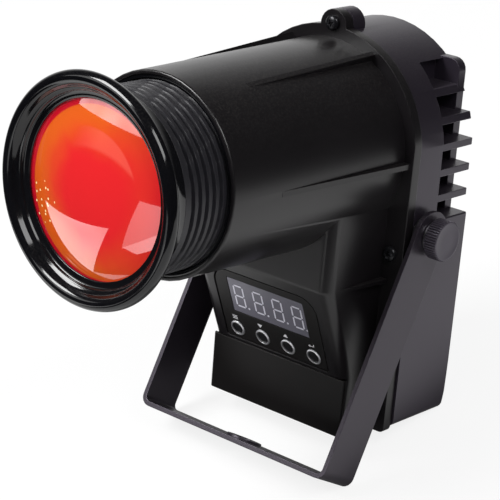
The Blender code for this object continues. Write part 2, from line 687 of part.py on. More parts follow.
def build_front_housing(light, slope, materials):
    housing = add_part("front_housing", control_box(), materials["housing"], light)
    add_boolean(housing, prism(flange_outline(), -FLANGE_THICKNESS, 0.0), "UNION", "flange")
    half = BOX_HALF_WIDTH - BOX_WALL
    add_boolean(housing, prism(box_hollow(), -half, half, "zyx"), "DIFFERENCE", "box_hollow")
    barrel = [
        (0.0, -FLANGE_THICKNESS + BARREL_LIP_BEVEL),
        (BARREL_ROOT_RADIUS, -FLANGE_THICKNESS + BARREL_LIP_BEVEL),
        (BARREL_ROOT_RADIUS, 0.0),
        (BARREL_FRONT_RADIUS, BARREL_LENGTH - BARREL_LIP_BEVEL),
        (BARREL_FRONT_RADIUS - BARREL_LIP_BEVEL, BARREL_LENGTH),
        (0.0, BARREL_LENGTH),
    ]
    add_boolean(housing, lathe(barrel, FINE), "UNION", "barrel")
    add_boolean(housing, prism(lug_outline(), -FLANGE_THICKNESS, 0.0), "UNION", "lug")
    for index, angle in enumerate(RIB_ANGLES):
        web = rib(RIB_LENGTH, BARREL_ROOT_RADIUS, RIB_HEIGHT, RIB_THICKNESS)
        add_boolean(housing, web, "UNION", f"rib_{index + 1}", rotation=(0.0, 0.0, math.radians(angle)))
    for side, word in ((-1, "left"), (1, "right")):
        add_boolean(housing, side_rib(side), "UNION", f"side_rib_{word}")
    bore = BARREL_FRONT_RADIUS - BARREL_LIP_WALL
    seat = SLEEVE_RADIUS + SLIDING_FIT
    seat_front = BARREL_LENGTH - THREAD_SEAT_DEPTH
    seat_back = seat_front - THREAD_SEAT_LENGTH
    hollow = [
        (0.0, -FLANGE_THICKNESS - OVERCUT),
        (bore, -FLANGE_THICKNESS - OVERCUT),
        (bore, seat_back - OVERCUT),
        (seat, seat_back),
        (seat, seat_front),
        (bore, seat_front + OVERCUT),
        (bore, BARREL_LENGTH + OVERCUT),
        (0.0, BARREL_LENGTH + OVERCUT),
    ]
    add_boolean(housing, lathe(hollow, FINE), "DIFFERENCE", "bore")
    pocket = prism(pocket_outline(0.0), -POCKET_DEPTH, OVERCUT)
    add_boolean(housing, pocket, "DIFFERENCE", "pocket", parent=slope)
    opening = prism(pocket_outline(PANEL_LEDGE), -BOX_WALL - OVERCUT, 0.0)
    add_boolean(housing, opening, "DIFFERENCE", "panel_opening", parent=slope)
    add_boolean(housing, join(*board_posts()), "UNION", "board_posts", parent=slope)
    add_boolean(housing, lower_recess(), "DIFFERENCE", "lower_recess")
    holes = [
        disc(SCREW_RADIUS + FIT, -FLANGE_THICKNESS - OVERCUT, OVERCUT, TINY, place)
        for place in SCREW_PLACES.values()
    ]
    add_boolean(housing, join(*holes), "DIFFERENCE", "screw_holes")
    return housing


def lower_panel():
    """The upright panel under the controls, as wide as the box and flush with it."""
    half = BOX_HALF_WIDTH
    back = PANEL_FRONT - LOWER_PANEL_THICKNESS
    corners = [(-half, back), (half, back), (half, PANEL_FRONT), (-half, PANEL_FRONT)]
    outline = rounded_polygon(corners, [0, 0, LOWER_PANEL_CORNER, LOWER_PANEL_CORNER], 4)
    return prism(outline, BOX_BOTTOM, SLOPE_FOOT - LOWER_PANEL_MARGIN - FIT, "xzy")


def lower_recess():
    """The step in the box that takes the lower panel."""
    half = BOX_HALF_WIDTH + OVERCUT
    back = PANEL_FRONT - LOWER_PANEL_THICKNESS - FIT
    front = PANEL_FRONT + OVERCUT
    outline = [(-half, back), (half, back), (half, front), (-half, front)]
    return prism(outline, BOX_BOTTOM - OVERCUT, SLOPE_FOOT - LOWER_PANEL_MARGIN, "xzy")


def control_levels():
    """Heights above the slope of the panel, the window, the display and its board, in that order."""
    panel_back = -POCKET_DEPTH + FIT
    panel_face = panel_back + PANEL_THICKNESS
    window_face = panel_face - WINDOW_SINK
    module_face = window_face - WINDOW_THICKNESS - FIT
    module_back = module_face - MODULE_DEPTH
    board_face = module_back - FIT
    return panel_back, panel_face, window_face, module_face, module_back, board_face


def board_posts():
    """Four posts behind the slope's wall that carry the control board."""
    board_face = control_levels()[-1]
    across = CONTROL_BOARD_HALF_WIDTH - BOARD_POST_INSET
    near = CONTROL_BOARD_START + BOARD_POST_INSET
    far = CONTROL_BOARD_END - BOARD_POST_INSET
    posts = []
    for x in (-across, across):
        for along in (near, far):
            posts.append(disc(BOARD_POST_RADIUS, board_face + FIT, -BOX_WALL / 2, TINY, (x, -along)))
    return posts


def build_controls(light, slope, materials):
    add_part("lower_front_panel", lower_panel(), materials["panel"], light)
    floor, face, window_face, module_face, module_back, board_face = control_levels()
    panel = add_part("control_panel", prism(pocket_outline(FIT), floor, face), materials["panel"], slope)
    window_middle = (0.0, -WINDOW_START - WINDOW_HEIGHT / 2)
    below = floor - OVERCUT
    above = face + OVERCUT
    opening = rounded_rectangle(WINDOW_WIDTH, WINDOW_HEIGHT, WINDOW_CORNER, window_middle, 2)
    holes = [prism(opening, below, above)]
    for place in button_places():
        holes.append(disc(BUTTON_RING_RADIUS + FIT, below, above, SMALL, place))
    add_boolean(panel, join(*holes), "DIFFERENCE", "openings")
    window_outline = rounded_rectangle(
        WINDOW_WIDTH - 2 * FIT, WINDOW_HEIGHT - 2 * FIT, WINDOW_CORNER, window_middle, 2
    )
    window = prism(window_outline, window_face - WINDOW_THICKNESS, window_face)
    add_part("display_window", window, materials["window"], slope)
    module_width = WINDOW_WIDTH - 2 * MODULE_SIDE_INSET
    module_height = WINDOW_HEIGHT - 2 * MODULE_END_INSET
    module_outline = rounded_rectangle(module_width, module_height, WINDOW_CORNER, window_middle, 1)
    module = prism(module_outline, module_back, module_face)
    add_part("display_module", module, materials["component"], slope)
    board_outline = rounded_rectangle(
        2 * CONTROL_BOARD_HALF_WIDTH,
        CONTROL_BOARD_END - CONTROL_BOARD_START,
        BOARD_CORNER,
        (0.0, -(CONTROL_BOARD_START + CONTROL_BOARD_END) / 2),
        2,
    )
    board = prism(board_outline, board_face - BOARD_THICKNESS, board_face)
    add_part("control_board", board, materials["board"], slope)
    switch_back = board_face + FIT
    switch_face = switch_back + SWITCH_HEIGHT
    ring_top = face + BUTTON_RING_RISE
    ring_back = ring_top - BUTTON_RING_HEIGHT
    for name, (x, y) in zip(BUTTON_NAMES, button_places()):
        place = (x, y, 0.0)
        ring = tube(BUTTON_RING_RADIUS, BUTTON_RADIUS + FIT, ring_back, ring_top, SMALL)
        add_part(f"{name}_button_ring", ring, materials["ring"], slope, place)
        cap_top = ring_top - BUTTON_SINK
        collar_top = ring_back - BUTTON_COLLAR_DROP
        collar_back = collar_top - BUTTON_COLLAR_THICKNESS
        stem_end = switch_face - BUTTON_STEM_REACH
        cap = [
            (0.0, stem_end),
            (BUTTON_STEM, stem_end),
            (BUTTON_STEM, collar_back),
            (BUTTON_COLLAR, collar_back),
            (BUTTON_COLLAR, collar_top),
            (BUTTON_RADIUS, collar_top),
            (BUTTON_RADIUS, cap_top - BUTTON_EDGE / 2),
            (BUTTON_RADIUS - BUTTON_EDGE, cap_top),
            (0.0, cap_top),
        ]
        add_part(f"{name}_button", lathe(cap, SMALL), materials["knob"], slope, place)
        half = SWITCH_WIDTH / 2
        body = prism([(-half, -half), (half, -half), (half, half), (-half, half)], switch_back, switch_face)
        switch = add_part(f"{name}_switch", body, materials["component"], slope, place)
        bore = disc(BUTTON_STEM + FIT, stem_end - SWITCH_BORE_SPARE, switch_face + OVERCUT, SMALL)
        add_boolean(switch, bore, "DIFFERENCE", "bore", location=place)


def build_rear_housing(light, materials):
    front = -FLANGE_THICKNESS - FIT
    outline = keyhole(BAND_RADIUS, BAND_RADIUS * 0.995, BAND_RADIUS, REAR_BOX_TOP - BAND_SKIRT, 0.0)
    housing = add_part("rear_housing", prism(outline, -REAR_DEPTH, front), materials["heat_sink"], light)
    box = rounded_polygon(
        [
            (-REAR_BOX_FOOT_HALF_WIDTH, REAR_BOTTOM),
            (REAR_BOX_FOOT_HALF_WIDTH, REAR_BOTTOM),
            (REAR_BOX_HALF_WIDTH, REAR_BOX_TOP),
            (-REAR_BOX_HALF_WIDTH, REAR_BOX_TOP),
        ],
        [REAR_CORNER, REAR_CORNER, REAR_SHOULDER_CORNER, REAR_SHOULDER_CORNER],
    )
    box_mesh = prism(box, -REAR_DEPTH, front)
    back_edge = -REAR_DEPTH + FIT
    rounded = [
        edge
        for edge in box_mesh.edges
        if all(vert.co.z < back_edge and vert.co.y < REAR_BOX_TOP - REAR_CORNER for vert in edge.verts)
    ]
    bmesh.ops.bevel(box_mesh, geom=rounded, offset=HEEL_ROUND, segments=3, profile=0.5, affect="EDGES")
    add_boolean(housing, box_mesh, "UNION", "box")
    lug = prism(lug_outline(), front - LUG_DEPTH, front)
    add_boolean(housing, lug, "UNION", "lug")
    plate_low = REAR_BOX_TOP - 2 * PLATE_THICKNESS
    plate = rounded_polygon(
        [
            (-PLATE_HALF_WIDTH, plate_low),
            (PLATE_HALF_WIDTH, plate_low),
            (PLATE_HALF_WIDTH, PLATE_TOP),
            (-PLATE_HALF_WIDTH, PLATE_TOP),
        ],
        [0, 0, PLATE_CORNER, PLATE_CORNER],
    )
    plate_back = -REAR_DEPTH - PLATE_STEP
    add_boolean(housing, prism(plate, plate_back, -REAR_DEPTH + PLATE_THICKNESS), "UNION", "back_plate")
    add_boolean(housing, join(*fin_slots()), "DIFFERENCE", "fin_slots")
    pocket = disc(EMITTER_POCKET_RADIUS, front - EMITTER_POCKET_DEPTH, front + OVERCUT, FINE)
    add_boolean(housing, pocket, "DIFFERENCE", "emitter_pocket")
    right = [
        (CAVITY_FOOT_HALF_WIDTH, REAR_BOTTOM + REAR_WALL),
        (CAVITY_FOOT_HALF_WIDTH, CAVITY_FOOT),
        (CAVITY_WIDE, CAVITY_FOOT),
        (CAVITY_WIDE, CAVITY_SHOULDER),
        (CAVITY_NARROW, CAVITY_SHOULDER),
        (CAVITY_NARROW, CAVITY_TOP),
    ]
    left = [(-x, y) for x, y in reversed(right)]
    cavity = prism(right + left, -REAR_DEPTH + REAR_WALL, front + OVERCUT)
    add_boolean(housing, cavity, "DIFFERENCE", "cavity")
    posts = [
        prism(circle_points(POST_RADIUS, TINY, (x, z)), REAR_BOTTOM + OVERLAP, DRIVER_LEVEL - FIT, "xzy")
        for x, z in post_places()
    ]
    add_boolean(housing, join(*posts), "UNION", "board_posts")
    insert_bore = INSERT_RADIUS + FIT
    reach = REAR_BOX_HALF_WIDTH + OVERCUT
    depth = INSERT_SINK + INSERT_LENGTH + INSERT_END_GAP
    cutters = []
    for side in (-1, 1):
        centre = (PIVOT_HEIGHT, -PIVOT_BACK)
        ends = sorted((side * (REAR_BOX_HALF_WIDTH - depth), side * reach))
        cutters.append(prism(circle_points(insert_bore, SMALL, centre), ends[0], ends[1], "yzx"))
    for place in SCREW_PLACES.values():
        end = -SCREW_LENGTH - SCREW_TIP
        cutters.append(disc(SCREW_RADIUS + FIT, end, front + OVERCUT, TINY, place))
    add_boolean(housing, join(*cutters), "DIFFERENCE", "bores")
    add_boolean(housing, join(*socket_cutouts()), "DIFFERENCE", "socket_cutouts")
    return housing


def fin_slots():
    """The slots between the fins, cut in from both sides, deeper behind the back plate's edge."""
    levels = []
    for index in range(FIN_COUNT):
        top = TOP_FIN - FIN_PITCH * index
        levels.append((top - FIN_THICKNESS, top))
    gaps = [(levels[0][1], CAP_LEVEL)]
    gaps += [(lower[1], upper[0]) for upper, lower in zip(levels, levels[1:])]
    gaps.append((REAR_BOX_TOP, levels[-1][0]))
    outside = max(REAR_BOX_HALF_WIDTH, FLANGE_RADIUS) + LUG_RADIUS
    behind = -REAR_DEPTH - OVERCUT
    inner_back = -REAR_DEPTH + PLATE_THICKNESS
    slots = []
    for bottom, top in gaps:
        for side in (-1, 1):
            outline = [
                (side * SLOT_FLOOR, -BAND_DEPTH),
                (side * SLOT_FLOOR, inner_back),
                (side * PLATE_HALF_WIDTH, inner_back),
                (side * PLATE_HALF_WIDTH, behind),
                (side * outside, behind),
                (side * outside, -BAND_DEPTH),
            ]
            slots.append(prism(outline, bottom, top, "xzy"))
    return slots


def post_places():
    near = DRIVER_FRONT - POST_INSET
    far = DRIVER_BACK + POST_INSET
    across = DRIVER_HALF_WIDTH - POST_INSET
    return [(side * across, depth) for side in (-1, 1) for depth in (near, far)]


def socket_cutouts():
    back = -REAR_DEPTH - OVERCUT
    inside = -REAR_DEPTH + REAR_WALL + OVERCUT
    cuts = []
    for side in (-1, 1):
        place = (side * SOCKET_OFFSET, SOCKET_LINE)
        cuts.append(disc(SOCKET_BODY_RADIUS + FIT, back, inside, MEDIUM, place))
    cuts.append(prism(inlet_outline(INLET_WIDTH + 2 * FIT, INLET_HEIGHT + 2 * FIT), back, inside))
    cuts.append(disc(FUSE_BODY_RADIUS + FIT, back, inside, SMALL, FUSE_PLACE))
    return cuts


def inlet_outline(width, height):
    """The mains inlet's outline: a rectangle whose two lower corners are cut off."""
    x, y = INLET_PLACE
    cut = height * INLET_CUT_SHARE
    corners = [
        (x - width / 2 + cut, y - height / 2),
        (x + width / 2 - cut, y - height / 2),
        (x + width / 2, y - height / 2 + cut),
        (x + width / 2, y + height / 2),
        (x - width / 2, y + height / 2),
        (x - width / 2, y - height / 2 + cut),
    ]
    return rounded_polygon(corners, INLET_CORNER, 2)


def pin_places(centre):
    """Three contacts evenly round a signal socket."""
    x, y = centre
    angles = [math.radians(angle) for angle in PIN_ANGLES]
    return [(x + PIN_CIRCLE * math.cos(angle), y + PIN_CIRCLE * math.sin(angle)) for angle in angles]


def build_signal_socket(name, side, light, materials):
    """A round socket on a square flange, with an open mouth and its body behind the wall."""
    back = -REAR_DEPTH - FIT
    face = back - SOCKET_FLANGE_THICKNESS
    place = (side * SOCKET_OFFSET, SOCKET_LINE)
    flange = rounded_rectangle(
        SOCKET_FLANGE_WIDTH, SOCKET_FLANGE_HEIGHT, SOCKET_FLANGE_CORNER, place, 3
    )
    socket = add_part(name, prism(flange, face, back), materials["component"], light)
    body = disc(SOCKET_BODY_RADIUS, face + OVERLAP, back + SOCKET_BODY_LENGTH, MEDIUM, place)
    add_boolean(socket, body, "UNION", "body")
    return socket, place, face


def build_signal_input(light, materials):
    """The socket with pins, whose mouth takes a plug."""
    socket, place, face = build_signal_socket("signal_input", -1, light, materials)
    floor = face + SOCKET_MOUTH_DEPTH
    mouth = disc(SOCKET_MOUTH_RADIUS, face - OVERCUT, floor, MEDIUM, place)
    add_boolean(socket, mouth, "DIFFERENCE", "mouth")
    rods = [disc(PIN_RADIUS, face + PIN_RECESS, floor + OVERLAP, TINY, pin) for pin in pin_places(place)]
    add_boolean(socket, join(*rods), "UNION", "pins")


def build_signal_output(light, materials):
    """The socket with holes, whose ring groove takes a plug's shell."""
    socket, place, face = build_signal_socket("signal_output", 1, light, materials)
    inner = SOCKET_MOUTH_RADIUS - SOCKET_RING_GROOVE
    groove = tube(SOCKET_MOUTH_RADIUS, inner, face - OVERCUT, face + SOCKET_MOUTH_DEPTH, MEDIUM)
    bmesh.ops.translate(groove, verts=groove.verts, vec=(*place, 0.0))
    cuts = [groove]
    for pin in pin_places(place):
        cuts.append(disc(PIN_RADIUS + PIN_HOLE_FIT, face - OVERCUT, face + PIN_HOLE_DEPTH, TINY, pin))
    add_boolean(socket, join(*cuts), "DIFFERENCE", "mouth")


def build_mains_inlet(light, materials):
    """The power inlet: a flanged block with three blades standing in its mouth."""
    back = -REAR_DEPTH - FIT
    face = back - INLET_FLANGE_THICKNESS
    floor = face + INLET_MOUTH_DEPTH
    flange = inlet_outline(INLET_WIDTH + 2 * INLET_FLANGE, INLET_HEIGHT + 2 * INLET_FLANGE)
    inlet = add_part("mains_inlet", prism(flange, face, back), materials["component"], light)
    body = prism(inlet_outline(INLET_WIDTH, INLET_HEIGHT), face + OVERLAP, back + INLET_DEPTH)
    add_boolean(inlet, body, "UNION", "body")
    mouth = prism(inlet_outline(INLET_MOUTH_WIDTH, INLET_MOUTH_HEIGHT), face - OVERCUT, floor)
    add_boolean(inlet, mouth, "DIFFERENCE", "mouth")
    x, y = INLET_PLACE
    blades = []
    for side in (-1, 0, 1):
        up = OUTER_BLADE_RISE if side else -MIDDLE_BLADE_DROP
        centre = (x + side * BLADE_PITCH, y + up)
        blade = rounded_rectangle(BLADE_WIDTH, BLADE_HEIGHT, BLADE_CORNER, centre, 1)
        blades.append(prism(blade, face + BLADE_RECESS, floor + OVERLAP))
    add_boolean(inlet, join(*blades), "UNION", "blades")


def build_fuse_holder(light, materials):
    """A round holder whose cap has a slot for a screwdriver."""
    fuse = [
        (0.0, FUSE_BODY_LENGTH),
        (FUSE_BODY_RADIUS, FUSE_BODY_LENGTH),
        (FUSE_BODY_RADIUS, 0.0),
        (FUSE_CAP_RADIUS, 0.0),
        (FUSE_CAP_RADIUS, -FUSE_CAP_HEIGHT + FUSE_CAP_EDGE),
        (FUSE_CAP_RADIUS - FUSE_CAP_EDGE, -FUSE_CAP_HEIGHT),
        (0.0, -FUSE_CAP_HEIGHT),
    ]
    place = (*FUSE_PLACE, -REAR_DEPTH - FIT)
    holder = add_part("fuse_holder", lathe(fuse, SMALL), materials["component"], light, place)
    outline = rounded_rectangle(FUSE_SLOT_WIDTH, FUSE_SLOT_LENGTH, 0.0)
    slot = prism(outline, -FUSE_CAP_HEIGHT - OVERCUT, -FUSE_CAP_HEIGHT + FUSE_SLOT_DEPTH)
    add_boolean(holder, slot, "DIFFERENCE", "slot", location=place)


def build_source(light, materials):
    """The emitter on its board, the pad that carries its heat away and the reflector cup."""
    wall = -FLANGE_THICKNESS - FIT - EMITTER_POCKET_DEPTH
    pad_back = wall + FIT
    pad_face = pad_back + PAD_THICKNESS
    add_part("thermal_pad", disc(PAD_RADIUS, pad_back, pad_face, MEDIUM), materials["pad"], light)
    board_back = pad_face + FIT
    board_face = board_back + BOARD_THICKNESS
    board = disc(LED_BOARD_RADIUS, board_back, board_face, MEDIUM)
    add_part("led_board", board, materials["white_board"], light)
    emitter_back = board_face + FIT
    outline = rounded_rectangle(EMITTER_WIDTH, EMITTER_WIDTH, EMITTER_CORNER, facets=2)
    chip = prism(outline, emitter_back, emitter_back + EMITTER_HEIGHT)
    add_part("led_emitter", chip, materials["emitter"], light)
    steps = 3
    inner = []
    for index in range(steps + 1):
        share = index / steps
        radius = REFLECTOR_FOOT + (REFLECTOR_MOUTH - REFLECTOR_FOOT) * share ** REFLECTOR_CURVE
        inner.append((radius, emitter_back + REFLECTOR_LENGTH * share))
    outer = [(radius + REFLECTOR_WALL, height) for radius, height in reversed(inner)]
    add_part("reflector", lathe(inner + outer, MEDIUM), materials["mirror"], light)


def build_driver(light, materials):
    depth_middle = (DRIVER_FRONT + DRIVER_BACK) / 2
    board = rounded_rectangle(
        2 * DRIVER_HALF_WIDTH, DRIVER_FRONT - DRIVER_BACK, BOARD_CORNER, (0.0, depth_middle), 2
    )
    top = DRIVER_LEVEL + BOARD_THICKNESS
    add_part("driver_board", prism(board, DRIVER_LEVEL, top, "xzy"), materials["board"], light)
    width, height, depth = TRANSFORMER_SIZE
    base = top + FIT
    core = rounded_rectangle(width, depth, TRANSFORMER_CORNER, (TRANSFORMER_PLACE, depth_middle), 2)
    add_part("driver_transformer", prism(core, base, base + height, "xzy"), materials["winding"], light)
    place = (CAPACITOR_ACROSS, DRIVER_FRONT - CAPACITOR_INSET)
    can = prism(circle_points(CAPACITOR_RADIUS, SMALL, place), base, base + CAPACITOR_HEIGHT, "xzy")
    add_part("driver_capacitor", can, materials["component"], light)


def lens_bezel_profile():
    """The flared ring: a bore for the lens, an inner step, a dished face, a round lip and a neck."""
    seat = LENS_RADIUS + FIT
    step = LENS_EDGE_FRONT + FIT
    lip_centre = (RING_RADIUS - RING_LIP, RING_FRONT - RING_LIP)
    face = [(seat, RING_BACK), (seat, step), (LENS_OPENING, step)]
    face += [(LENS_OPENING + out, step + forward) for out, forward in RING_STEP]
    round_lip = circle_points(RING_LIP, 6, lip_centre, 125.0, -185.0)
    back = []
    neck = (SLEEVE_RADIUS + NECK_STEP, RING_BACK)
    start = round_lip[-1]
    bulge = (SLEEVE_RADIUS + NECK_BULGE, start[1] - NECK_BULGE_BACK)
    steps = 4
    for index in range(1, steps + 1):
        t = index / steps
        radius = (1 - t) ** 2 * start[0] + 2 * t * (1 - t) * bulge[0] + t * t * neck[0]
        height = (1 - t) ** 2 * start[1] + 2 * t * (1 - t) * bulge[1] + t * t * neck[1]
        back.append((radius, height))
    return face + round_lip + back


def lens_profile():
    """A thick lens, rounder in front than behind, with a flat rim that the ring's step holds."""
    steps = 3
    clear = LENS_OPENING - FIT

    def bulge(rise):
        radius = (clear ** 2 + rise ** 2) / (2 * rise)
        arc = []
        for index in range(steps + 1):
            across = clear * index / steps
            arc.append((across, math.sqrt(radius ** 2 - across ** 2) - radius + rise))
        return arc

    front = [(across, LENS_EDGE_FRONT + rise) for across, rise in bulge(LENS_FRONT_RISE)]
    back_edge = LENS_EDGE_FRONT - LENS_EDGE
    back = [(across, back_edge - rise) for across, rise in bulge(LENS_BACK_RISE)]
    rim = [(LENS_RADIUS, back_edge), (LENS_RADIUS, LENS_EDGE_FRONT)]
    return back + rim + list(reversed(front))


def build_optics(light, materials):
    turning = add_empty("focus_axis", light)
    add_part("lens_bezel", lathe(lens_bezel_profile(), FINE), materials["bezel"], turning)
    spigot = LENS_RADIUS
    front = RING_BACK - FIT
    sleeve_end = RING_BACK - SLEEVE_LENGTH
    sleeve = [
        (SLEEVE_BORE, sleeve_end),
        (SLEEVE_RADIUS - SLEEVE_BEVEL, sleeve_end),
        (SLEEVE_RADIUS, sleeve_end + SLEEVE_BEVEL),
        (SLEEVE_RADIUS, front),
        (spigot, front),
        (spigot, front + SPIGOT_LENGTH),
        (SLEEVE_BORE, front + SPIGOT_LENGTH),
    ]
    add_part("focus_sleeve", lathe(sleeve, FINE), materials["sleeve"], turning)
    lens_back = LENS_EDGE_FRONT - LENS_EDGE
    seal_front = lens_back - FIT
    seal_back = seal_front - SEAL_THICKNESS
    seal_inner = LENS_OPENING - SEAL_LEDGE
    seal = tube(LENS_RADIUS, seal_inner + SEAL_INSET, seal_back, seal_front, MEDIUM)
    add_part("lens_seal", seal, materials["rubber"], turning)
    retainer_front = seal_back - FIT
    retainer = tube(LENS_RADIUS, seal_inner, retainer_front - RETAINER_LENGTH, retainer_front, MEDIUM)
    add_part("lens_retainer", retainer, materials["sleeve"], turning)
    add_part("front_lens", lathe(lens_profile(), FINE), materials["lens"], turning)


def build_bracket(light, materials):
    """The U bracket in its own frame: y up the legs, origin on the pivot axis."""
    lean = (-math.radians(BRACKET_TILT), 0.0, 0.0)
    pivot = add_empty("bracket_axis", light, (0.0, PIVOT_HEIGHT, -PIVOT_BACK), lean)
    x = BRACKET_HALF_WIDTH
    inside = BRACKET_INSIDE
    top = STRAP_WIDTH / 2
    drop = BRACKET_DROP
    inner_bend = BRACKET_BEND - BRACKET_THICKNESS
    outer = rounded_polygon(
        [(-x, top), (-x, -drop), (x, -drop), (x, top)], [0, BRACKET_BEND, BRACKET_BEND, 0], 6
    )
    bar = -drop + BRACKET_THICKNESS
    inner = rounded_polygon(
        [(inside, top), (inside, bar), (-inside, bar), (-inside, top)], [0, inner_bend, inner_bend, 0], 6
    )
    strap = add_part("bracket", prism(outer + inner, -top, top), materials["strap"], pivot)
    corner = top + OVERCUT
    cuts = []
    for side in (-1, 1):
        ends = sorted((side * (inside - OVERCUT), side * (x + OVERCUT)))
        arc = circle_points(top, 16, (0.0, 0.0), 0.0, 180.0)
        ear = [(-corner, 0.0), (-corner, corner), (corner, corner), (corner, 0.0)] + arc
        cuts.append(prism(ear, ends[0], ends[1], "zyx"))
        cuts.append(prism(circle_points(STUD_RADIUS + FIT, SMALL), ends[0], ends[1], "zyx"))
    add_boolean(strap, join(*cuts), "DIFFERENCE", "ears")
    raised = bar + SEAT_RISE
    seat = prism(circle_points(SEAT_RADIUS, MEDIUM), bar - OVERLAP, raised, "xzy")
    add_boolean(strap, seat, "UNION", "seat")
    hole = prism(circle_points(SEAT_HOLE, SMALL), -drop - OVERCUT, raised + OVERCUT, "xzy")
    add_boolean(strap, hole, "DIFFERENCE", "seat_hole")


def knob_outline():
    points = []
    for index in range(KNOB_TEETH):
        for share, radius in ((0.0, KNOB_RADIUS), (0.5, KNOB_RADIUS - KNOB_TOOTH)):
            angle = 2 * math.pi * (index + share) / KNOB_TEETH
            points.append((radius * math.cos(angle), radius * math.sin(angle)))
    return points


def build_clamps(light, materials):
    """Each clamp: a brass insert in the housing, a spacer, the strap's ear, a washer and a knob."""
    for side, word in ((-1, "left"), (1, "right")):
        place = (0.0, PIVOT_HEIGHT, -PIVOT_BACK)
        # The clamp's own z runs outward along the pivot axis.
        axis = add_empty(f"{word}_clamp_axis", light, place, (0.0, side * math.pi / 2, 0.0))
        insert_end = REAR_BOX_HALF_WIDTH - INSERT_SINK
        insert_start = insert_end - INSERT_LENGTH
        insert = tube(INSERT_RADIUS, STUD_RADIUS + FIT, insert_start, insert_end, SMALL)
        add_part(f"{word}_threaded_insert", insert, materials["brass"], axis)
        spacer_back = REAR_BOX_HALF_WIDTH + FIT
        spacer = tube(
            SPACER_RADIUS, STUD_RADIUS + FIT, spacer_back, spacer_back + SPACER_THICKNESS, MEDIUM
        )
        add_part(f"{word}_spacer", spacer, materials["rubber"], axis)
        washer_back = BRACKET_HALF_WIDTH + FIT
        washer_front = washer_back + WASHER_THICKNESS
        washer = tube(WASHER_RADIUS, STUD_RADIUS + FIT, washer_back, washer_front, MEDIUM)
        add_part(f"{word}_knob_washer", washer, materials["steel"], axis)
        knob_back = washer_front + FIT
        knob_face = knob_back + KNOB_LENGTH
        grip = prism(knob_outline(), knob_back, knob_face)
        knob = add_part(f"{word}_knob", grip, materials["knob"], axis)
        stud_end = knob_back + KNOB_BORE_DEPTH
        bore = disc(STUD_RADIUS + FIT, knob_back - OVERCUT, stud_end + FIT, SMALL)
        add_boolean(knob, bore, "DIFFERENCE", "bore")
        stud = disc(STUD_RADIUS, insert_start + STUD_END_GAP, stud_end, SMALL)
        add_part(f"{word}_knob_stud", stud, materials["steel"], axis)


def build_screws(light, materials):
    for word, (x, y) in SCREW_PLACES.items():
        head = SCREW_HEAD_HEIGHT
        profile = [
            (0.0, -SCREW_LENGTH),
            (SCREW_RADIUS, -SCREW_LENGTH + SCREW_TIP),
            (SCREW_RADIUS, 0.0),
            (SCREW_HEAD_RADIUS, 0.0),
            (SCREW_HEAD_RADIUS, head * 0.4),
            (SCREW_HEAD_RADIUS * 0.8, head * 0.85),
            (SCREW_HEAD_RADIUS * 0.45, head),
            (0.0, head),
        ]
        place = (x, y, FIT)
        add_part(f"{word}_housing_screw", lathe(profile, TINY), materials["dark_screw"], light, place)


def standing_pitch():
    """How far the light leans back so that bracket heel and housing heel share one surface."""
    tilt = math.radians(BRACKET_TILT)
    half = STRAP_WIDTH / 2
    heel_up = PIVOT_HEIGHT - BRACKET_DROP * math.cos(tilt) - half * math.sin(tilt)
    heel_back = PIVOT_BACK - BRACKET_DROP * math.sin(tilt) + half * math.cos(tilt)
    round_up = REAR_BOTTOM + HEEL_ROUND
    round_back = REAR_DEPTH - HEEL_ROUND
    rise = round_up - heel_up
    run = round_back - heel_back
    return math.atan2(rise, run) - math.asin(HEEL_ROUND / math.hypot(rise, run))


def set_on_floor(light):
    """Moves the whole light so that its box stands on z = 0, centred over the origin."""
    bpy.context.view_layer.update()
    graph = bpy.context.evaluated_depsgraph_get()
    points = []
    for obj in bpy.data.objects:
        if obj.type != "MESH" or obj.hide_render:
            continue
        shape = obj.evaluated_get(graph)
        points += [shape.matrix_world @ Vector(vert.co) for vert in shape.data.vertices]
    low = Vector([min(point[axis] for point in points) for axis in range(3)])
    high = Vector([max(point[axis] for point in points) for axis in range(3)])
    light.location -= Vector(((low.x + high.x) / 2, (low.y + high.y) / 2, low.z))


def main():
    clear_scene()
    materials = make_materials()
    light = add_empty("light", None, rotation=(math.pi / 2 - standing_pitch(), 0.0, 0.0))
    slope = add_empty("control_slope", light, (0.0, BROW_HEIGHT, BOX_FRONT), (slope_angle(), 0.0, 0.0))
    build_front_housing(light, slope, materials)
    build_controls(light, slope, materials)
    build_rear_housing(light, materials)
    build_signal_input(light, materials)
    build_signal_output(light, materials)
    build_mains_inlet(light, materials)
    build_fuse_holder(light, materials)
    build_source(light, materials)
    build_driver(light, materials)
    build_optics(light, materials)
    build_bracket(light, materials)
    build_clamps(light, materials)
    build_screws(light, materials)
    set_on_floor(light)


main()
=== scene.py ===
"""A black pinspot light: its finishes, finer pieces and studio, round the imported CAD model."""

import json
import math

import bmesh
import bpy
from mathutils import Matrix, Vector


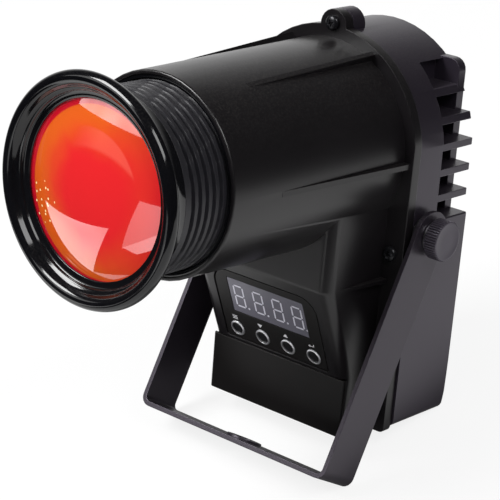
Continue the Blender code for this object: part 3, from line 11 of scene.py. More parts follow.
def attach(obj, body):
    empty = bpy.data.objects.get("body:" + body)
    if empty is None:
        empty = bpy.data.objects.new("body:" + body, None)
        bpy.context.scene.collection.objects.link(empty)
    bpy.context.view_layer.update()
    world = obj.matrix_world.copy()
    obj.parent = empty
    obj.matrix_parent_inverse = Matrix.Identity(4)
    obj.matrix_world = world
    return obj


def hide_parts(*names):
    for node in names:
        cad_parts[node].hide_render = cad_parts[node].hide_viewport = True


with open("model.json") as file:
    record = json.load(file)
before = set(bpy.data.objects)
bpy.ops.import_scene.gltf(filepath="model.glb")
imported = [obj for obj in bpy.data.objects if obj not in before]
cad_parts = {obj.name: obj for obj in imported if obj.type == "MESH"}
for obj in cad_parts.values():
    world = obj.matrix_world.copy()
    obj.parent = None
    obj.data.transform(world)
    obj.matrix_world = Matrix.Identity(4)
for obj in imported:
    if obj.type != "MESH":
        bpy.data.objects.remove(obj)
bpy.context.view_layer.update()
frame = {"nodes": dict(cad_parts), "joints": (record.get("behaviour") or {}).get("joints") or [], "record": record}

MM = 0.001
SIDES = ((-1, "left"), (1, "right"))
JOINTS = {joint["name"]: joint for joint in frame["joints"]}

# Sizes in millimetres, in the light's own frame: x across, y up, z forward along the lens axis.
# The groove's two values are shares of the pitch, and the parting angle is in degrees.
BROW_LEVEL = -62.3
BOX_FRONT = 41.5
SLEEVE_RADIUS = 44.2
SLEEVE_BORE = 39.6
SLEEVE_BACK = 92.0
SLEEVE_FRONT = 146.7
SPIGOT_RADIUS = 42.3
SPIGOT_LENGTH = 2.6
THREAD_PITCH = 4.5
THREAD_DEPTH = 1.8
THREAD_START = 95.5
THREAD_END = 144.6
GROOVE_HALF = 0.29
GROOVE_EASE = 0.12
SEAM_DEPTH = 0.3
PARTING_ANGLE = 45.5
LIP_BORE = 44.85
LIP_OUTSIDE = 47.1
LIP_FRONT = 119.7
LIP_BACK = 117.5
RING_BACK = 147.0
RING_SEAT = 42.6
RING_NECK = 44.5
LENS_EDGE_FRONT = 158.0
LENS_EDGE_BACK = 155.0
LENS_RADIUS = 42.3
LENS_CLEAR = 40.8
LIP_CENTRE = (50.55, 162.4)
LIP_RADIUS = 3.5
KNOB_RADIUS = 10.25
KNOB_BACK = 63.8
KNOB_FACE = 71.3
KNOB_TEETH = 48
REAR_FACE = -48.5
SIDE_FACE = 56.55
SHADE_DISC_SPOT = (-81.0, -10.8)


# Places on the light, found from its joints

def place_on(origin, across, up):
    """A frame's matrix from its origin and two of its directions."""
    out = across.cross(up)
    columns = [(*across, 0), (*up, 0), (*out, 0), (*origin, 1)]
    return Matrix(columns).transposed()


ACROSS = Vector((1, 0, 0))
FORWARD = Vector(JOINTS["focus_turn"]["axis"]).normalized()
LIGHT = place_on(Vector(JOINTS["focus_turn"]["pos_m"]), ACROSS, FORWARD.cross(ACROSS))
OUTWARD = -Vector(JOINTS["menu_press"]["axis"]).normalized()
SLOPE = place_on(LIGHT @ Vector((0, BROW_LEVEL * MM, BOX_FRONT * MM)), ACROSS, OUTWARD.cross(ACROSS))
PIVOT = Vector(JOINTS["bracket_tilt"]["pos_m"])
LIGHT_UP = LIGHT.to_3x3() @ Vector((0, 1, 0))


def clamp_place(side):
    """The frame of one clamp, with z outward along the pivot axis."""
    return place_on(PIVOT, LIGHT_UP.cross(Vector((side, 0, 0))), LIGHT_UP)


# Mesh tools: outlines and solids in millimetres

def arc(centre, radius, start, sweep, steps):
    """Points on an arc, angles in degrees."""
    points = []
    for index in range(steps + 1):
        angle = math.radians(start + sweep * index / steps)
        points.append((centre[0] + radius * math.cos(angle), centre[1] + radius * math.sin(angle)))
    return points


def rounded(corners, steps=5):
    """A closed outline from (x, y, radius) corners, each rounded to its radius."""
    outline = []
    count = len(corners)
    for index, (x, y, radius) in enumerate(corners):
        point = Vector((x, y))
        before = Vector(corners[index - 1][:2]) - point
        after = Vector(corners[(index + 1) % count][:2]) - point
        if radius <= 0:
            outline.append((x, y))
            continue
        towards, away = before.normalized(), after.normalized()
        half = towards.angle(away) / 2
        reach = min(radius / math.tan(half), before.length * 0.49, after.length * 0.49)
        radius = reach * math.tan(half)
        centre = point + (towards + away).normalized() * (radius / math.sin(half))
        first, last = point + towards * reach - centre, point + away * reach - centre
        turn = first.angle_signed(last)
        for step in range(steps + 1):
            angle = -turn * step / steps
            cos, sin = math.cos(angle), math.sin(angle)
            outline.append(
                (centre.x + first.x * cos - first.y * sin, centre.y + first.x * sin + first.y * cos)
            )
    return outline


def revolve(profile, segments, wobble=None):
    """A solid turned round z from a closed (radius, height) outline.

    Where wobble(angle, radius, height) is given, it says where a point goes.
    """
    points, faces = [], []
    count = len(profile)
    for step in range(segments):
        angle = 2 * math.pi * step / segments
        for radius, height in profile:
            r, z = wobble(angle, radius, height) if wobble else (radius, height)
            points.append((r * math.cos(angle), r * math.sin(angle), z))
    for step in range(segments):
        here, there = step * count, (step + 1) % segments * count
        for index in range(count):
            after = (index + 1) % count
            if profile[index][0] < 1e-6 and profile[after][0] < 1e-6:
                continue
            faces.append((here + index, there + index, there + after, here + after))
    return points, faces


def slab(outline, low, high):
    """A flat plate from a closed outline, between two heights."""
    count = len(outline)
    points = [(x, y, low) for x, y in outline] + [(x, y, high) for x, y in outline]
    faces = [tuple(reversed(range(count))), tuple(range(count, 2 * count))]
    for index in range(count):
        after = (index + 1) % count
        faces.append((index, after, count + after, count + index))
    return points, faces


def together(*meshes):
    """Several meshes as one list of points and one of faces."""
    points, faces = [], []
    for more_points, more_faces in meshes:
        start = len(points)
        points += more_points
        faces += [tuple(start + index for index in face) for face in more_faces]
    return points, faces


def moved(mesh, x=0.0, y=0.0, z=0.0, turn=0.0):
    """A mesh turned round z by degrees and then shifted."""
    cos, sin = math.cos(math.radians(turn)), math.sin(math.radians(turn))
    points = [(x + px * cos - py * sin, y + px * sin + py * cos, z + pz) for px, py, pz in mesh[0]]
    return points, mesh[1]


def make_object(name, mesh, place, finish, sharp=32.0):
    """A mesh object from millimetres in its own place, smooth apart from edges sharper than sharp."""
    data = bpy.data.meshes.new(name)
    data.from_pydata([place @ (Vector(point) * MM) for point in mesh[0]], [], mesh[1])
    work = bmesh.new()
    work.from_mesh(data)
    bmesh.ops.remove_doubles(work, verts=work.verts, dist=1e-7)
    bmesh.ops.recalc_face_normals(work, faces=work.faces)
    work.to_mesh(data)
    work.free()
    data.shade_smooth()
    data.set_sharp_from_angle(angle=math.radians(sharp))
    data.materials.append(finish)
    obj = bpy.data.objects.new(name, data)
    bpy.context.scene.collection.objects.link(obj)
    return obj


def add_piece(name, mesh, place, finish, body, node=None, sharp=32.0):
    """One visible piece that rides on a body, and stands for a CAD node where one is named."""
    obj = make_object(name, mesh, place, finish, sharp)
    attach(obj, body)
    if node:
        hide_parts(node)


# Shader tools

def paint(red, green, blue):
    """A linear colour from its 0 to 255 values as seen on a screen."""
    linear = []
    for value in (red, green, blue):
        value /= 255
        linear.append(value / 12.92 if value <= 0.04045 else ((value + 0.055) / 1.055) ** 2.4)
    return (*linear, 1.0)


class Recipe:
    """A node tree that is filled a node at a time."""

    def __init__(self, tree):
        self.tree = tree

    def add(self, kind, values=(), **settings):
        """A node with its settings, and values for its inputs by name or number, or links to them."""
        node = self.tree.nodes.new("ShaderNode" + kind)
        for name, value in settings.items():
            setattr(node, name, value)
        for key, value in dict(values).items():
            self.feed(node.inputs[key], value)
        return node

    def feed(self, socket, value):
        """Links a socket to another, or sets its value."""
        if isinstance(value, bpy.types.NodeSocket):
            self.tree.links.new(value, socket)
        else:
            socket.default_value = value

    def blend(self, share, first, second):
        """A mix of two colours."""
        return self.add("Mix", {0: share, 6: first, 7: second}, data_type="RGBA").outputs[2]

    def sum(self, operation, first, second=0.0, clamp=False):
        """A sum done on one or two numbers."""
        node = self.add("Math", {0: first, 1: second}, operation=operation, use_clamp=clamp)
        return node.outputs[0]

    def span(self, value, low, high, out_low=0.0, out_high=1.0, smooth=False):
        """A number taken from one range to another, and held inside it."""
        numbers = {
            "Value": value, "From Min": low, "From Max": high, "To Min": out_low, "To Max": out_high,
        }
        kind = "SMOOTHSTEP" if smooth else "LINEAR"
        return self.add("MapRange", numbers, interpolation_type=kind).outputs[0]


def effect_group(name, inputs, outputs):
    """An empty node group with named number inputs and outputs, and its first and last node."""
    group = bpy.data.node_groups.new(name, "ShaderNodeTree")
    for label, value in inputs.items():
        socket = group.interface.new_socket(label, in_out="INPUT", socket_type="NodeSocketFloat")
        socket.default_value = value
    for label in outputs:
        group.interface.new_socket(label, in_out="OUTPUT", socket_type="NodeSocketFloat")
    recipe = Recipe(group)
    start = group.nodes.new("NodeGroupInput").outputs
    end = group.nodes.new("NodeGroupOutput").inputs
    return group, recipe, start, end


def moulded_grain_group():
    """The fine grain that a mould or a spray gun leaves, as a height."""
    group, recipe, start, end = effect_group(
        "moulded grain", {"Scale": 1500.0, "Coarse": 0.3}, ["Height"]
    )
    where = recipe.add("TexCoord").outputs["Object"]
    fine = recipe.add("TexNoise", {"Vector": where, "Scale": start["Scale"], "Detail": 3.0})
    broad_scale = recipe.sum("MULTIPLY", start["Scale"], 0.21)
    broad = recipe.add("TexNoise", {"Vector": where, "Scale": broad_scale, "Detail": 1.0})
    share = recipe.sum("MULTIPLY", broad.outputs[0], start["Coarse"])
    recipe.feed(end["Height"], recipe.sum("ADD", fine.outputs[0], share))
    return group


def edge_wear_group():
    """Where corners are rubbed, broken up by a noise."""
    group, recipe, start, end = effect_group(
        "edge wear", {"Reach": 0.0004, "Break Scale": 260.0}, ["Mask"]
    )
    where = recipe.add("TexCoord").outputs["Object"]
    noise = recipe.add("TexNoise", {"Vector": where, "Scale": start["Break Scale"], "Detail": 4.0})
    softened = recipe.add("Bevel", {"Radius": start["Reach"]}, samples=4).outputs[0]
    plain = recipe.add("NewGeometry").outputs["Normal"]
    turned = recipe.add("VectorMath", {0: softened, 1: plain}, operation="DOT_PRODUCT").outputs["Value"]
    edge = recipe.span(turned, 0.99, 0.85)
    broken = recipe.span(noise.outputs[0], 0.38, 0.62)
    recipe.feed(end["Mask"], recipe.sum("MULTIPLY", edge, broken, clamp=True))
    return group


def handling_marks_group():
    """Broad smears left by hands, and the dust that settles on faces turned up."""
    group, recipe, start, end = effect_group("handling marks", {"Scale": 22.0}, ["Smear", "Dust"])
    where = recipe.add("TexCoord").outputs["Object"]
    smear = recipe.add(
        "TexNoise", {"Vector": where, "Scale": start["Scale"], "Detail": 3.0, "Distortion": 0.6}
    )
    recipe.feed(end["Smear"], recipe.span(smear.outputs[0], 0.35, 0.7))
    speck_scale = recipe.sum("MULTIPLY", start["Scale"], 90.0)
    speck = recipe.add("TexNoise", {"Vector": where, "Scale": speck_scale, "Detail": 2.0})
    facing = recipe.add("SeparateXYZ", {0: recipe.add("NewGeometry").outputs["Normal"]}).outputs["Z"]
    upward = recipe.span(facing, 0.3, 0.95)
    specks = recipe.span(speck.outputs[0], 0.45, 0.75)
    recipe.feed(end["Dust"], recipe.sum("MULTIPLY", upward, specks, clamp=True))
    return group


GRAIN = moulded_grain_group()
WEAR = edge_wear_group()
HANDLING = handling_marks_group()


def use_group(recipe, group, **values):
    """A group placed in a material; input names are given with _ for a space."""
    node = recipe.tree.nodes.new("ShaderNodeGroup")
    node.node_tree = group
    for label, value in values.items():
        recipe.feed(node.inputs[label.replace("_", " ")], value)
    return node.outputs


def new_finish(name):
    """An empty material with its Principled shader, and the recipe that fills it."""
    finish = bpy.data.materials.new(name)
    finish.use_nodes = True
    recipe = Recipe(finish.node_tree)
    return finish, recipe, finish.node_tree.nodes["Principled BSDF"]


def surface_finish(
    name, colour, rough, grain=(1500.0, 0.02), spec=0.5, metal=0.0, smear=(0.04, None),
    wear=(0.3, None), dust=0.06, coat=0.0, gloss_tint=(1.0, 1.0, 1.0),
):
    """A finish with a grain, smears, worn edges and a little dust, all from procedural nodes.

    The grain has a scale and a height in millimetres. A smear has the width of its change in
    roughness and a colour, and wear has its strength and a colour. The gloss tint colours what
    the surface mirrors.
    """
    finish, recipe, shader = new_finish(name)
    marks = use_group(recipe, HANDLING, Scale=12.0)
    lighter = tuple(min(1.0, value * 1.14 + 0.0008) for value in colour[:3]) + (1.0,)
    tone = recipe.blend(marks["Smear"], colour, smear[1] or lighter)
    worn = wear[1] or tuple(min(1.0, value * 2.2 + 0.02) for value in colour[:3]) + (1.0,)
    edge = use_group(recipe, WEAR)["Mask"]
    tone = recipe.blend(recipe.sum("MULTIPLY", edge, wear[0]), tone, worn)
    tone = recipe.blend(recipe.sum("MULTIPLY", marks["Dust"], dust), tone, paint(150, 146, 140))
    height = use_group(recipe, GRAIN, Scale=grain[0])["Height"]
    bump = recipe.add("Bump", {"Height": height, "Distance": grain[1] * MM, "Strength": 1.0})
    recipe.feed(shader.inputs["Base Color"], tone)
    rougher = recipe.span(marks["Smear"], 0.0, 1.0, rough - smear[0] / 2, rough + smear[0] / 2)
    recipe.feed(shader.inputs["Roughness"], rougher)
    recipe.feed(shader.inputs["Normal"], bump.outputs[0])
    shader.inputs["Specular IOR Level"].default_value = spec
    shader.inputs["Specular Tint"].default_value = (*gloss_tint, 1.0)
    shader.inputs["Metallic"].default_value = metal
    shader.inputs["Coat Weight"].default_value = coat
    shader.inputs["Coat Roughness"].default_value = 0.12
    return finish


def lens_finish():
    """A red lens that glows with painted light: a coral middle, an orange ring of painted glow towards its left
    and foot, a deep red rim, a pale sickle of painted highlight and small painted glints.
    """
    finish, recipe, shader = new_finish("red lens")
    where = recipe.add("TexCoord").outputs["Object"]
    local = recipe.add(
        "Mapping", {"Vector": where, "Location": LIGHT.translation, "Rotation": LIGHT.to_euler()},
        vector_type="TEXTURE",
    ).outputs[0]
    parts = recipe.add("SeparateXYZ", {0: local}).outputs
    reach = LENS_CLEAR * MM
    across = recipe.sum("DIVIDE", parts["X"], reach)
    up = recipe.sum("DIVIDE", parts["Y"], reach)

    def from_middle(shift_x, shift_y):
        x = recipe.sum("SUBTRACT", across, shift_x)
        y = recipe.sum("SUBTRACT", up, shift_y)
        square = recipe.sum("ADD", recipe.sum("MULTIPLY", x, x), recipe.sum("MULTIPLY", y, y))
        return recipe.sum("SQRT", square)

    cloud = recipe.add(
        "TexNoise", {"Vector": where, "Scale": 38.0, "Detail": 2.0, "Distortion": 0.8}
    ).outputs[0]
    drift = recipe.span(cloud, 0.3, 0.7, -0.07, 0.07)
    # painted glow: an orange ring of light, stronger towards the left
    ring = recipe.span(recipe.sum("ADD", from_middle(0.14, -0.03), drift), 0.42, 0.98, smooth=True)
    side = recipe.span(across, 0.95, 0.1)
    orange = recipe.sum("MULTIPLY", ring, side)
    tone = recipe.blend(orange, paint(208, 32, 36), paint(206, 86, 24))
    rim = recipe.span(from_middle(0.055, -0.02), 0.965, 0.985, smooth=True)
    tone = recipe.blend(rim, tone, paint(184, 18, 36))
    # painted highlight: a pale sickle inside the upper left of the lens
    inside = recipe.span(from_middle(0.0, 0.0), 0.70, 0.73, 1.0, 0.0, smooth=True)
    outside = recipe.span(from_middle(0.05, -0.5), 0.97, 1.03, smooth=True)
    shown = recipe.span(recipe.sum("SUBTRACT", across, recipe.sum("MULTIPLY", up, 0.3)), -0.42, -0.05)
    painted_crescent_highlight = recipe.sum("MULTIPLY", recipe.sum("MULTIPLY", inside, outside), shown)
    tone = recipe.blend(recipe.sum("MULTIPLY", painted_crescent_highlight, 0.5), tone, paint(224, 92, 78))
    # painted glints: small pale yellow dots towards the lower left, glowing with the lens
    spot = recipe.add(
        "TexVoronoi", {"Vector": local, "Scale": 235.0, "Randomness": 0.9}, voronoi_dimensions="2D"
    )
    near = recipe.span(from_middle(-0.73, -0.3), 0.26, 0.24)
    painted_glint = recipe.sum("MULTIPLY", recipe.span(spot.outputs["Distance"], 0.15, 0.1), near)
    tone = recipe.blend(painted_glint, tone, paint(255, 232, 170))
    recipe.feed(shader.inputs["Base Color"], tone)
    # painted glow: the lens gives off light in its own colours, though no lamp is lit behind it
    recipe.feed(shader.inputs["Emission Color"], tone)
    shader.inputs["Emission Strength"].default_value = 0.14
    smudge = use_group(recipe, HANDLING, Scale=30.0)["Smear"]
    recipe.feed(shader.inputs["Roughness"], recipe.span(smudge, 0.0, 1.0, 0.02, 0.05))
    shader.inputs["Specular IOR Level"].default_value = 1.0
    shader.inputs["Coat Weight"].default_value = 1.0
    shader.inputs["Coat Roughness"].default_value = 0.02
    return finish


def make_finishes():
    """Every finish, by the record's slot names, and a few for pieces that share a slot."""
    cool = (0.93, 0.85, 1.0)
    return {
        "housing_plastic": surface_finish(
            "housing plastic", paint(17, 15, 17), 0.3, (1600.0, 0.01), 0.42
        ),
        "heat_sink": surface_finish(
            "heat sink paint", paint(29, 25, 32), 0.34, (1300.0, 0.016), 0.6,
            wear=(0.5, paint(104, 100, 110)), gloss_tint=cool,
        ),
        "bezel_plastic": surface_finish(
            "lens ring gloss", paint(7, 7, 10), 0.1, (900.0, 0.002), 0.45, smear=(0.03, None), dust=0.03
        ),
        "sleeve_plastic": surface_finish(
            "threaded sleeve plastic", paint(27, 26, 31), 0.48, (1150.0, 0.06), 0.45,
            wear=(0.5, paint(72, 72, 80)),
        ),
        "lens": lens_finish(),
        "seal_rubber": surface_finish("seal rubber", paint(18, 18, 21), 0.7, (1800.0, 0.02), 0.3),
        "panel_plastic": surface_finish(
            "panel plastic", paint(15, 13, 13), 0.42, (1500.0, 0.012), 0.25
        ),
        "display_window": surface_finish(
            "display window", paint(94, 93, 103), 0.2, (700.0, 0.002), 0.4,
            smear=(0.06, paint(100, 98, 108)),
        ),
        "button_ring": surface_finish(
            "bright ring metal", paint(232, 232, 236), 0.38, (1800.0, 0.006), metal=1.0, dust=0.0
        ),
        "knob_plastic": surface_finish(
            "knob plastic", paint(46, 42, 50), 0.42, (1500.0, 0.02), 0.6, gloss_tint=(0.94, 0.88, 1.0)
        ),
        "bracket_steel": surface_finish(
            "bracket paint", paint(31, 27, 33), 0.36, (1100.0, 0.018), 0.5,
            wear=(0.5, paint(112, 108, 118)), gloss_tint=cool,
        ),
        "plated_steel": surface_finish(
            "plated steel", paint(170, 170, 172), 0.3, (1700.0, 0.01), metal=1.0, dust=0.0
        ),
        "black_steel": surface_finish(
            "black screw steel", paint(28, 28, 31), 0.28, (1500.0, 0.01), metal=0.6,
            wear=(0.6, paint(120, 120, 124)), dust=0.0,
        ),
        "brass": surface_finish(
            "brass", paint(196, 154, 84), 0.3, (1500.0, 0.01), metal=1.0, dust=0.0
        ),
        "component_plastic": surface_finish(
            "component plastic", paint(20, 20, 22), 0.42, (1400.0, 0.015), 0.45
        ),
        "circuit_board": surface_finish(
            "circuit board", paint(24, 92, 52), 0.35, (700.0, 0.02), coat=0.4
        ),
        "metal_board": surface_finish("lamp board", paint(226, 226, 222), 0.4, (900.0, 0.01)),
        "emitter": surface_finish("emitter gel", paint(236, 196, 90), 0.3, (500.0, 0.03), coat=0.5),
        "reflector_finish": surface_finish(
            "reflector metal", paint(230, 230, 232), 0.08, (700.0, 0.004), metal=1.0, dust=0.0
        ),
        "thermal_pad": surface_finish("thermal pad", paint(120, 150, 190), 0.7, (1200.0, 0.03), 0.3),
        "transformer": surface_finish("transformer tape", paint(206, 170, 60), 0.4, (1100.0, 0.02)),
        "digit_segment": surface_finish(
            "display segments", paint(190, 189, 200), 0.35, (900.0, 0.002), 0.3, dust=0.0
        ),
        "glyph_ink": surface_finish(
            "button marks", paint(196, 196, 200), 0.5, (1500.0, 0.004), 0.3, dust=0.0
        ),
        "button_cap": surface_finish(
            "button cap plastic", paint(14, 14, 16), 0.3, (1500.0, 0.008), 0.4
        ),
    }


FINISH = make_finishes()


# CAD nodes that stay, with the width in millimetres by which their edges are rounded

ROUNDED_EDGES = {
    "lower_front_panel": 0.35, "display_window": 0.3, "left_knob_washer": 0.2,
    "right_knob_washer": 0.2, "left_spacer": 0.2, "right_spacer": 0.2, "signal_input": 0.25,
    "signal_output": 0.25, "mains_inlet": 0.25, "fuse_holder": 0.3, "driver_transformer": 0.4,
    "driver_capacitor": 0.4,
}


def folded_spots(work):
    """Points of the triangles that face against their own face."""
    spots = []
    work.normal_update()
    for triangle in work.calc_loop_triangles():
        first, second, third = (loop.vert.co for loop in triangle)
        across = (second - first).cross(third - first)
        if across.length > 2e-8 and across.dot(triangle[0].face.normal) < 0:
            spots += [first.copy(), second.copy(), third.copy()]
    return spots


def round_corners(work, width, sharp):
    """Rounds the outward corners of a mesh, apart from those beside the sharp points."""
    bmesh.ops.remove_doubles(work, verts=work.verts, dist=0.05 * MM)
    bmesh.ops.dissolve_degenerate(work, dist=0.005 * MM, edges=work.edges)
    bmesh.ops.dissolve_limit(work, angle_limit=math.radians(0.15), verts=work.verts, edges=work.edges)
    corners = []
    for edge in work.edges:
        outward = len(edge.link_faces) == 2 and edge.calc_face_angle_signed() > math.radians(30)
        if outward and not any((v.co - spot).length < 1.5 * MM for v in edge.verts for spot in sharp):
            corners.append(edge)
    bmesh.ops.bevel(
        work, geom=corners, offset=width * MM, segments=2, profile=0.5, affect="EDGES",
        clamp_overlap=False,
    )


def rounded_copy(node, width, slot, body, slim=0.0):
    """A piece made from a CAD node's own shape, with its outer corners rounded.

    A corner that folds when it is rounded stays sharp at the next try. The width slim is taken
    off each side of a panel, which leaves a gap round it in its pocket.
    """
    sharp = []
    for _ in range(5):
        work = bmesh.new()
        work.from_mesh(frame["nodes"][node].data)
        round_corners(work, width, sharp)
        spots = folded_spots(work)
        if not spots:
            break
        sharp += spots
    if slim:
        local = [SLOPE.inverted() @ vert.co for vert in work.verts]
        spans = [(min(p[axis] for p in local), max(p[axis] for p in local)) for axis in (0, 1)]
        for vert, point in zip(work.verts, local):
            for axis, (low, high) in enumerate(spans):
                share = 1 - 2 * slim * MM / (high - low)
                point[axis] = (low + high) / 2 + (point[axis] - (low + high) / 2) * share
            vert.co = SLOPE @ point
    data = bpy.data.meshes.new(node + "_casting")
    work.to_mesh(data)
    work.free()
    data.shade_smooth()
    data.set_sharp_from_angle(angle=math.radians(38))
    data.materials.append(FINISH[slot])
    obj = bpy.data.objects.new(node + "_casting", data)
    bpy.context.scene.collection.objects.link(obj)
    flat = obj.modifiers.new("flat faces", "WEIGHTED_NORMAL")
    flat.weight = 100
    flat.keep_sharp = True
    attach(obj, body)
    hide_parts(node)


def finish_cad_nodes():
    """Gives each CAD node its slot's finish, smooth shading and softly rounded edges."""
    for row in frame["record"]["subparts"]:
        node = frame["nodes"][row["node"]]
        node.data.materials.clear()
        node.data.materials.append(FINISH[row["material_slot"]])
        if "custom_normal" in node.data.attributes:
            node.data.attributes.remove(node.data.attributes["custom_normal"])
        node.data.shade_smooth()
        weld = node.modifiers.new("weld", "WELD")
        weld.merge_threshold = 0.01 * MM
        width = ROUNDED_EDGES.get(row["node"], 0.15)
        bevel = node.modifiers.new("rounded", "BEVEL")
        bevel.width = width * MM
        bevel.segments = 2
        bevel.limit_method = "ANGLE"
        bevel.angle_limit = math.radians(34)
        bevel.harden_normals = True
        bevel.use_clamp_overlap = False


# Lens ring, sleeve, barrel mouth and lens

def build_lens_ring():
    """The flared ring: bore, lens seat, stepped and dished face, round lip and waisted neck."""
    face = [
        (RING_SEAT, RING_BACK + 0.1), (RING_SEAT, 158.2), (41.2, 158.35), (41.2, 158.95), (41.3, 159.1),
        (41.5, 159.2), (42.5, 159.35), (43.7, 159.6), (44.3, 159.85), (44.6, 160.2), (44.75, 160.7),
        (44.95, 161.05), (45.35, 161.3), (45.9, 161.65), (46.5, 162.15), (46.9, 162.75),
    ]
    lip = arc(LIP_CENTRE, LIP_RADIUS, 148.0, -208.0, 40)
    start = lip[-1]
    bulge = (45.4, start[1] - 1.5)
    back = []
    for index in range(1, 25):
        t = index / 24
        radius = (1 - t) ** 2 * start[0] + 2 * t * (1 - t) * bulge[0] + t * t * RING_NECK
        height = (1 - t) ** 2 * start[1] + 2 * t * (1 - t) * bulge[1] + t * t * RING_BACK
        back.append((radius, height))
    add_piece(
        "lens_ring", revolve(face + lip + back, 192), LIGHT, FINISH["bezel_plastic"],
        "focus_ring", "lens_bezel",
    )


def thread_radius(angle, height):
    """The sleeve's outside: a helical thread of flat lands and grooves, and two mould seams."""
    turn = (height / THREAD_PITCH - angle / (2 * math.pi)) % 1.0
    groove = min(1.0, max(0.0, (GROOVE_HALF - abs(turn - 0.5)) / GROOVE_EASE))
    depth = THREAD_DEPTH * (groove * groove * (3 - 2 * groove))
    fade_in = min(1.0, max(0.0, (height - THREAD_START) / 3))
    fade_out = min(1.0, max(0.0, (THREAD_END - height) / 1.5))
    seam = 0.0
    for middle in (PARTING_ANGLE, PARTING_ANGLE + 180):
        apart = (math.degrees(angle) - middle + 180) % 360 - 180
        seam = max(seam, SEAM_DEPTH - abs(apart) * 0.4)
    return SLEEVE_RADIUS - depth * min(fade_in, fade_out) - seam


def build_sleeve():
    """The focus sleeve with its coarse thread, its spigot in the ring and its plain bore."""
    steps = 300
    low, high, tip = SLEEVE_BACK + 0.8, SLEEVE_FRONT - 0.3, SLEEVE_FRONT + SPIGOT_LENGTH
    profile = [(SLEEVE_BORE, SLEEVE_BACK), (SLEEVE_RADIUS - 0.8, SLEEVE_BACK)]
    profile += [(SLEEVE_RADIUS, low + (high - low) * index / steps) for index in range(steps + 1)]
    profile += [(SLEEVE_RADIUS - 0.3, SLEEVE_FRONT), (SPIGOT_RADIUS, SLEEVE_FRONT)]
    profile += [(SPIGOT_RADIUS, tip), (SLEEVE_BORE, tip)]

    def threaded(angle, radius, height):
        if radius < SLEEVE_RADIUS - 1e-6:
            return radius, height
        return thread_radius(angle, height), height

    add_piece(
        "threaded_sleeve", revolve(profile, 256, threaded), LIGHT, FINISH["sleeve_plastic"],
        "focus_ring", "focus_sleeve", sharp=40.0,
    )


def build_barrel_lip():
    """The thin lip inside the barrel's mouth, close round the sleeve."""
    profile = rounded([
        (LIP_BORE, LIP_BACK, 0.1), (LIP_OUTSIDE, LIP_BACK, 0.1), (LIP_OUTSIDE, LIP_FRONT, 0.3),
        (LIP_BORE, LIP_FRONT, 0.3),
    ], 3)
    add_piece(
        "barrel_lip", revolve(profile, 160), LIGHT, FINISH["bezel_plastic"],
        "housing",
    )


def build_side_marks():
    """A small dark disc on each side of the rear box, inside its shallow groove: its dark finish is painted shade
    standing for a small round recess.
    """
    disc = [
        (0.0, -0.6), (4.2, -0.6), (4.2, 0.3), (4.05, 0.5), (3.7, 0.55), (3.4, 0.42), (3.2, 0.1),
        (0.0, 0.05),
    ]
    for side, word in SIDES:
        # painted shade: a black disc where a small round recess would be dark
        spot = LIGHT @ (Vector((side * SIDE_FACE, *SHADE_DISC_SPOT)) * MM)
        place = place_on(spot, LIGHT_UP.cross(Vector((side, 0, 0))), LIGHT_UP)
        add_piece(
            f"{word}_shade_disc", revolve(disc, 48), place, FINISH["button_cap"],
            "housing",
        )


def build_lens():
    """A thick lens with a round front, a flatter back and a ground rim."""
    def dome(rise, steps):
        radius = (LENS_CLEAR ** 2 + rise ** 2) / (2 * rise)
        spread = [LENS_CLEAR * math.sin(math.pi / 2 * i / steps) for i in range(steps + 1)]
        return [(across, math.sqrt(radius ** 2 - across ** 2) - radius + rise) for across in spread]

    front = [(across, LENS_EDGE_FRONT + rise) for across, rise in dome(7.0, 28)]
    back = [(across, LENS_EDGE_BACK - rise) for across, rise in dome(4.0, 20)]
    rim = [
        (LENS_RADIUS - 0.3, LENS_EDGE_BACK), (LENS_RADIUS, LENS_EDGE_BACK + 0.3),
        (LENS_RADIUS, LENS_EDGE_FRONT - 0.3), (LENS_RADIUS - 0.3, LENS_EDGE_FRONT),
    ]
    add_piece(
        "red_lens", revolve(back + rim + list(reversed(front)), 160), LIGHT, FINISH["lens"],
        "focus_carriage", "front_lens",
    )


# Clamp knobs

def build_knob(side, word):
    """A round knob with rounded teeth along its side and a flat face with a shallow dish."""
    def toothed(angle, radius, height):
        if radius < KNOB_RADIUS - 0.75:
            return radius, height
        share = (angle * KNOB_TEETH / (2 * math.pi)) % 1.0
        groove = max(0.0, 1.0 - abs(share - 0.5) / 0.3)
        return radius - 0.6 * groove ** 0.7, height

    radius, back, face = KNOB_RADIUS, KNOB_BACK, KNOB_FACE
    profile = [
        (0.0, back + 0.6), (3.4, back + 0.6), (3.4, back), (radius - 1.6, back),
        (radius - 0.5, back + 0.25), (radius, back + 0.8), (radius, face - 0.8),
        (radius - 0.12, face - 0.35), (radius - 0.45, face - 0.08), (radius - 0.8, face),
        (radius - 1.5, face), (radius - 1.9, face - 0.12), (4.0, face - 0.14), (0.0, face - 0.15),
    ]
    mesh = revolve(profile, KNOB_TEETH * 10, toothed)
    add_piece(
        f"{word}_clamp_knob", mesh, clamp_place(side), FINISH["knob_plastic"], f"{word}_clamp",
        f"{word}_knob", sharp=38.0,
    )


# Control panel, on its slope: x across, y up the slope, z out of it

BUTTONS = {"menu": -25.35, "down": -8.45, "up": 8.45, "enter": 25.35}
BUTTON_LINE = -44.7
GLYPH_LINE = -37.4
PANEL_FACE = -0.3
WINDOW_FACE = -0.5
DIGIT_LEFTS = (-22.0, -9.2, 3.6, 16.4)
DIGIT_TOP = -15.3
DIGIT_HEIGHT = 13.8
DIGIT_WIDTH = 6.8
SEGMENT_WIDTH = 0.9
SEGMENT_GAP = 0.7
POINT_RADIUS = 0.6
INK_DEPTH = 0.03


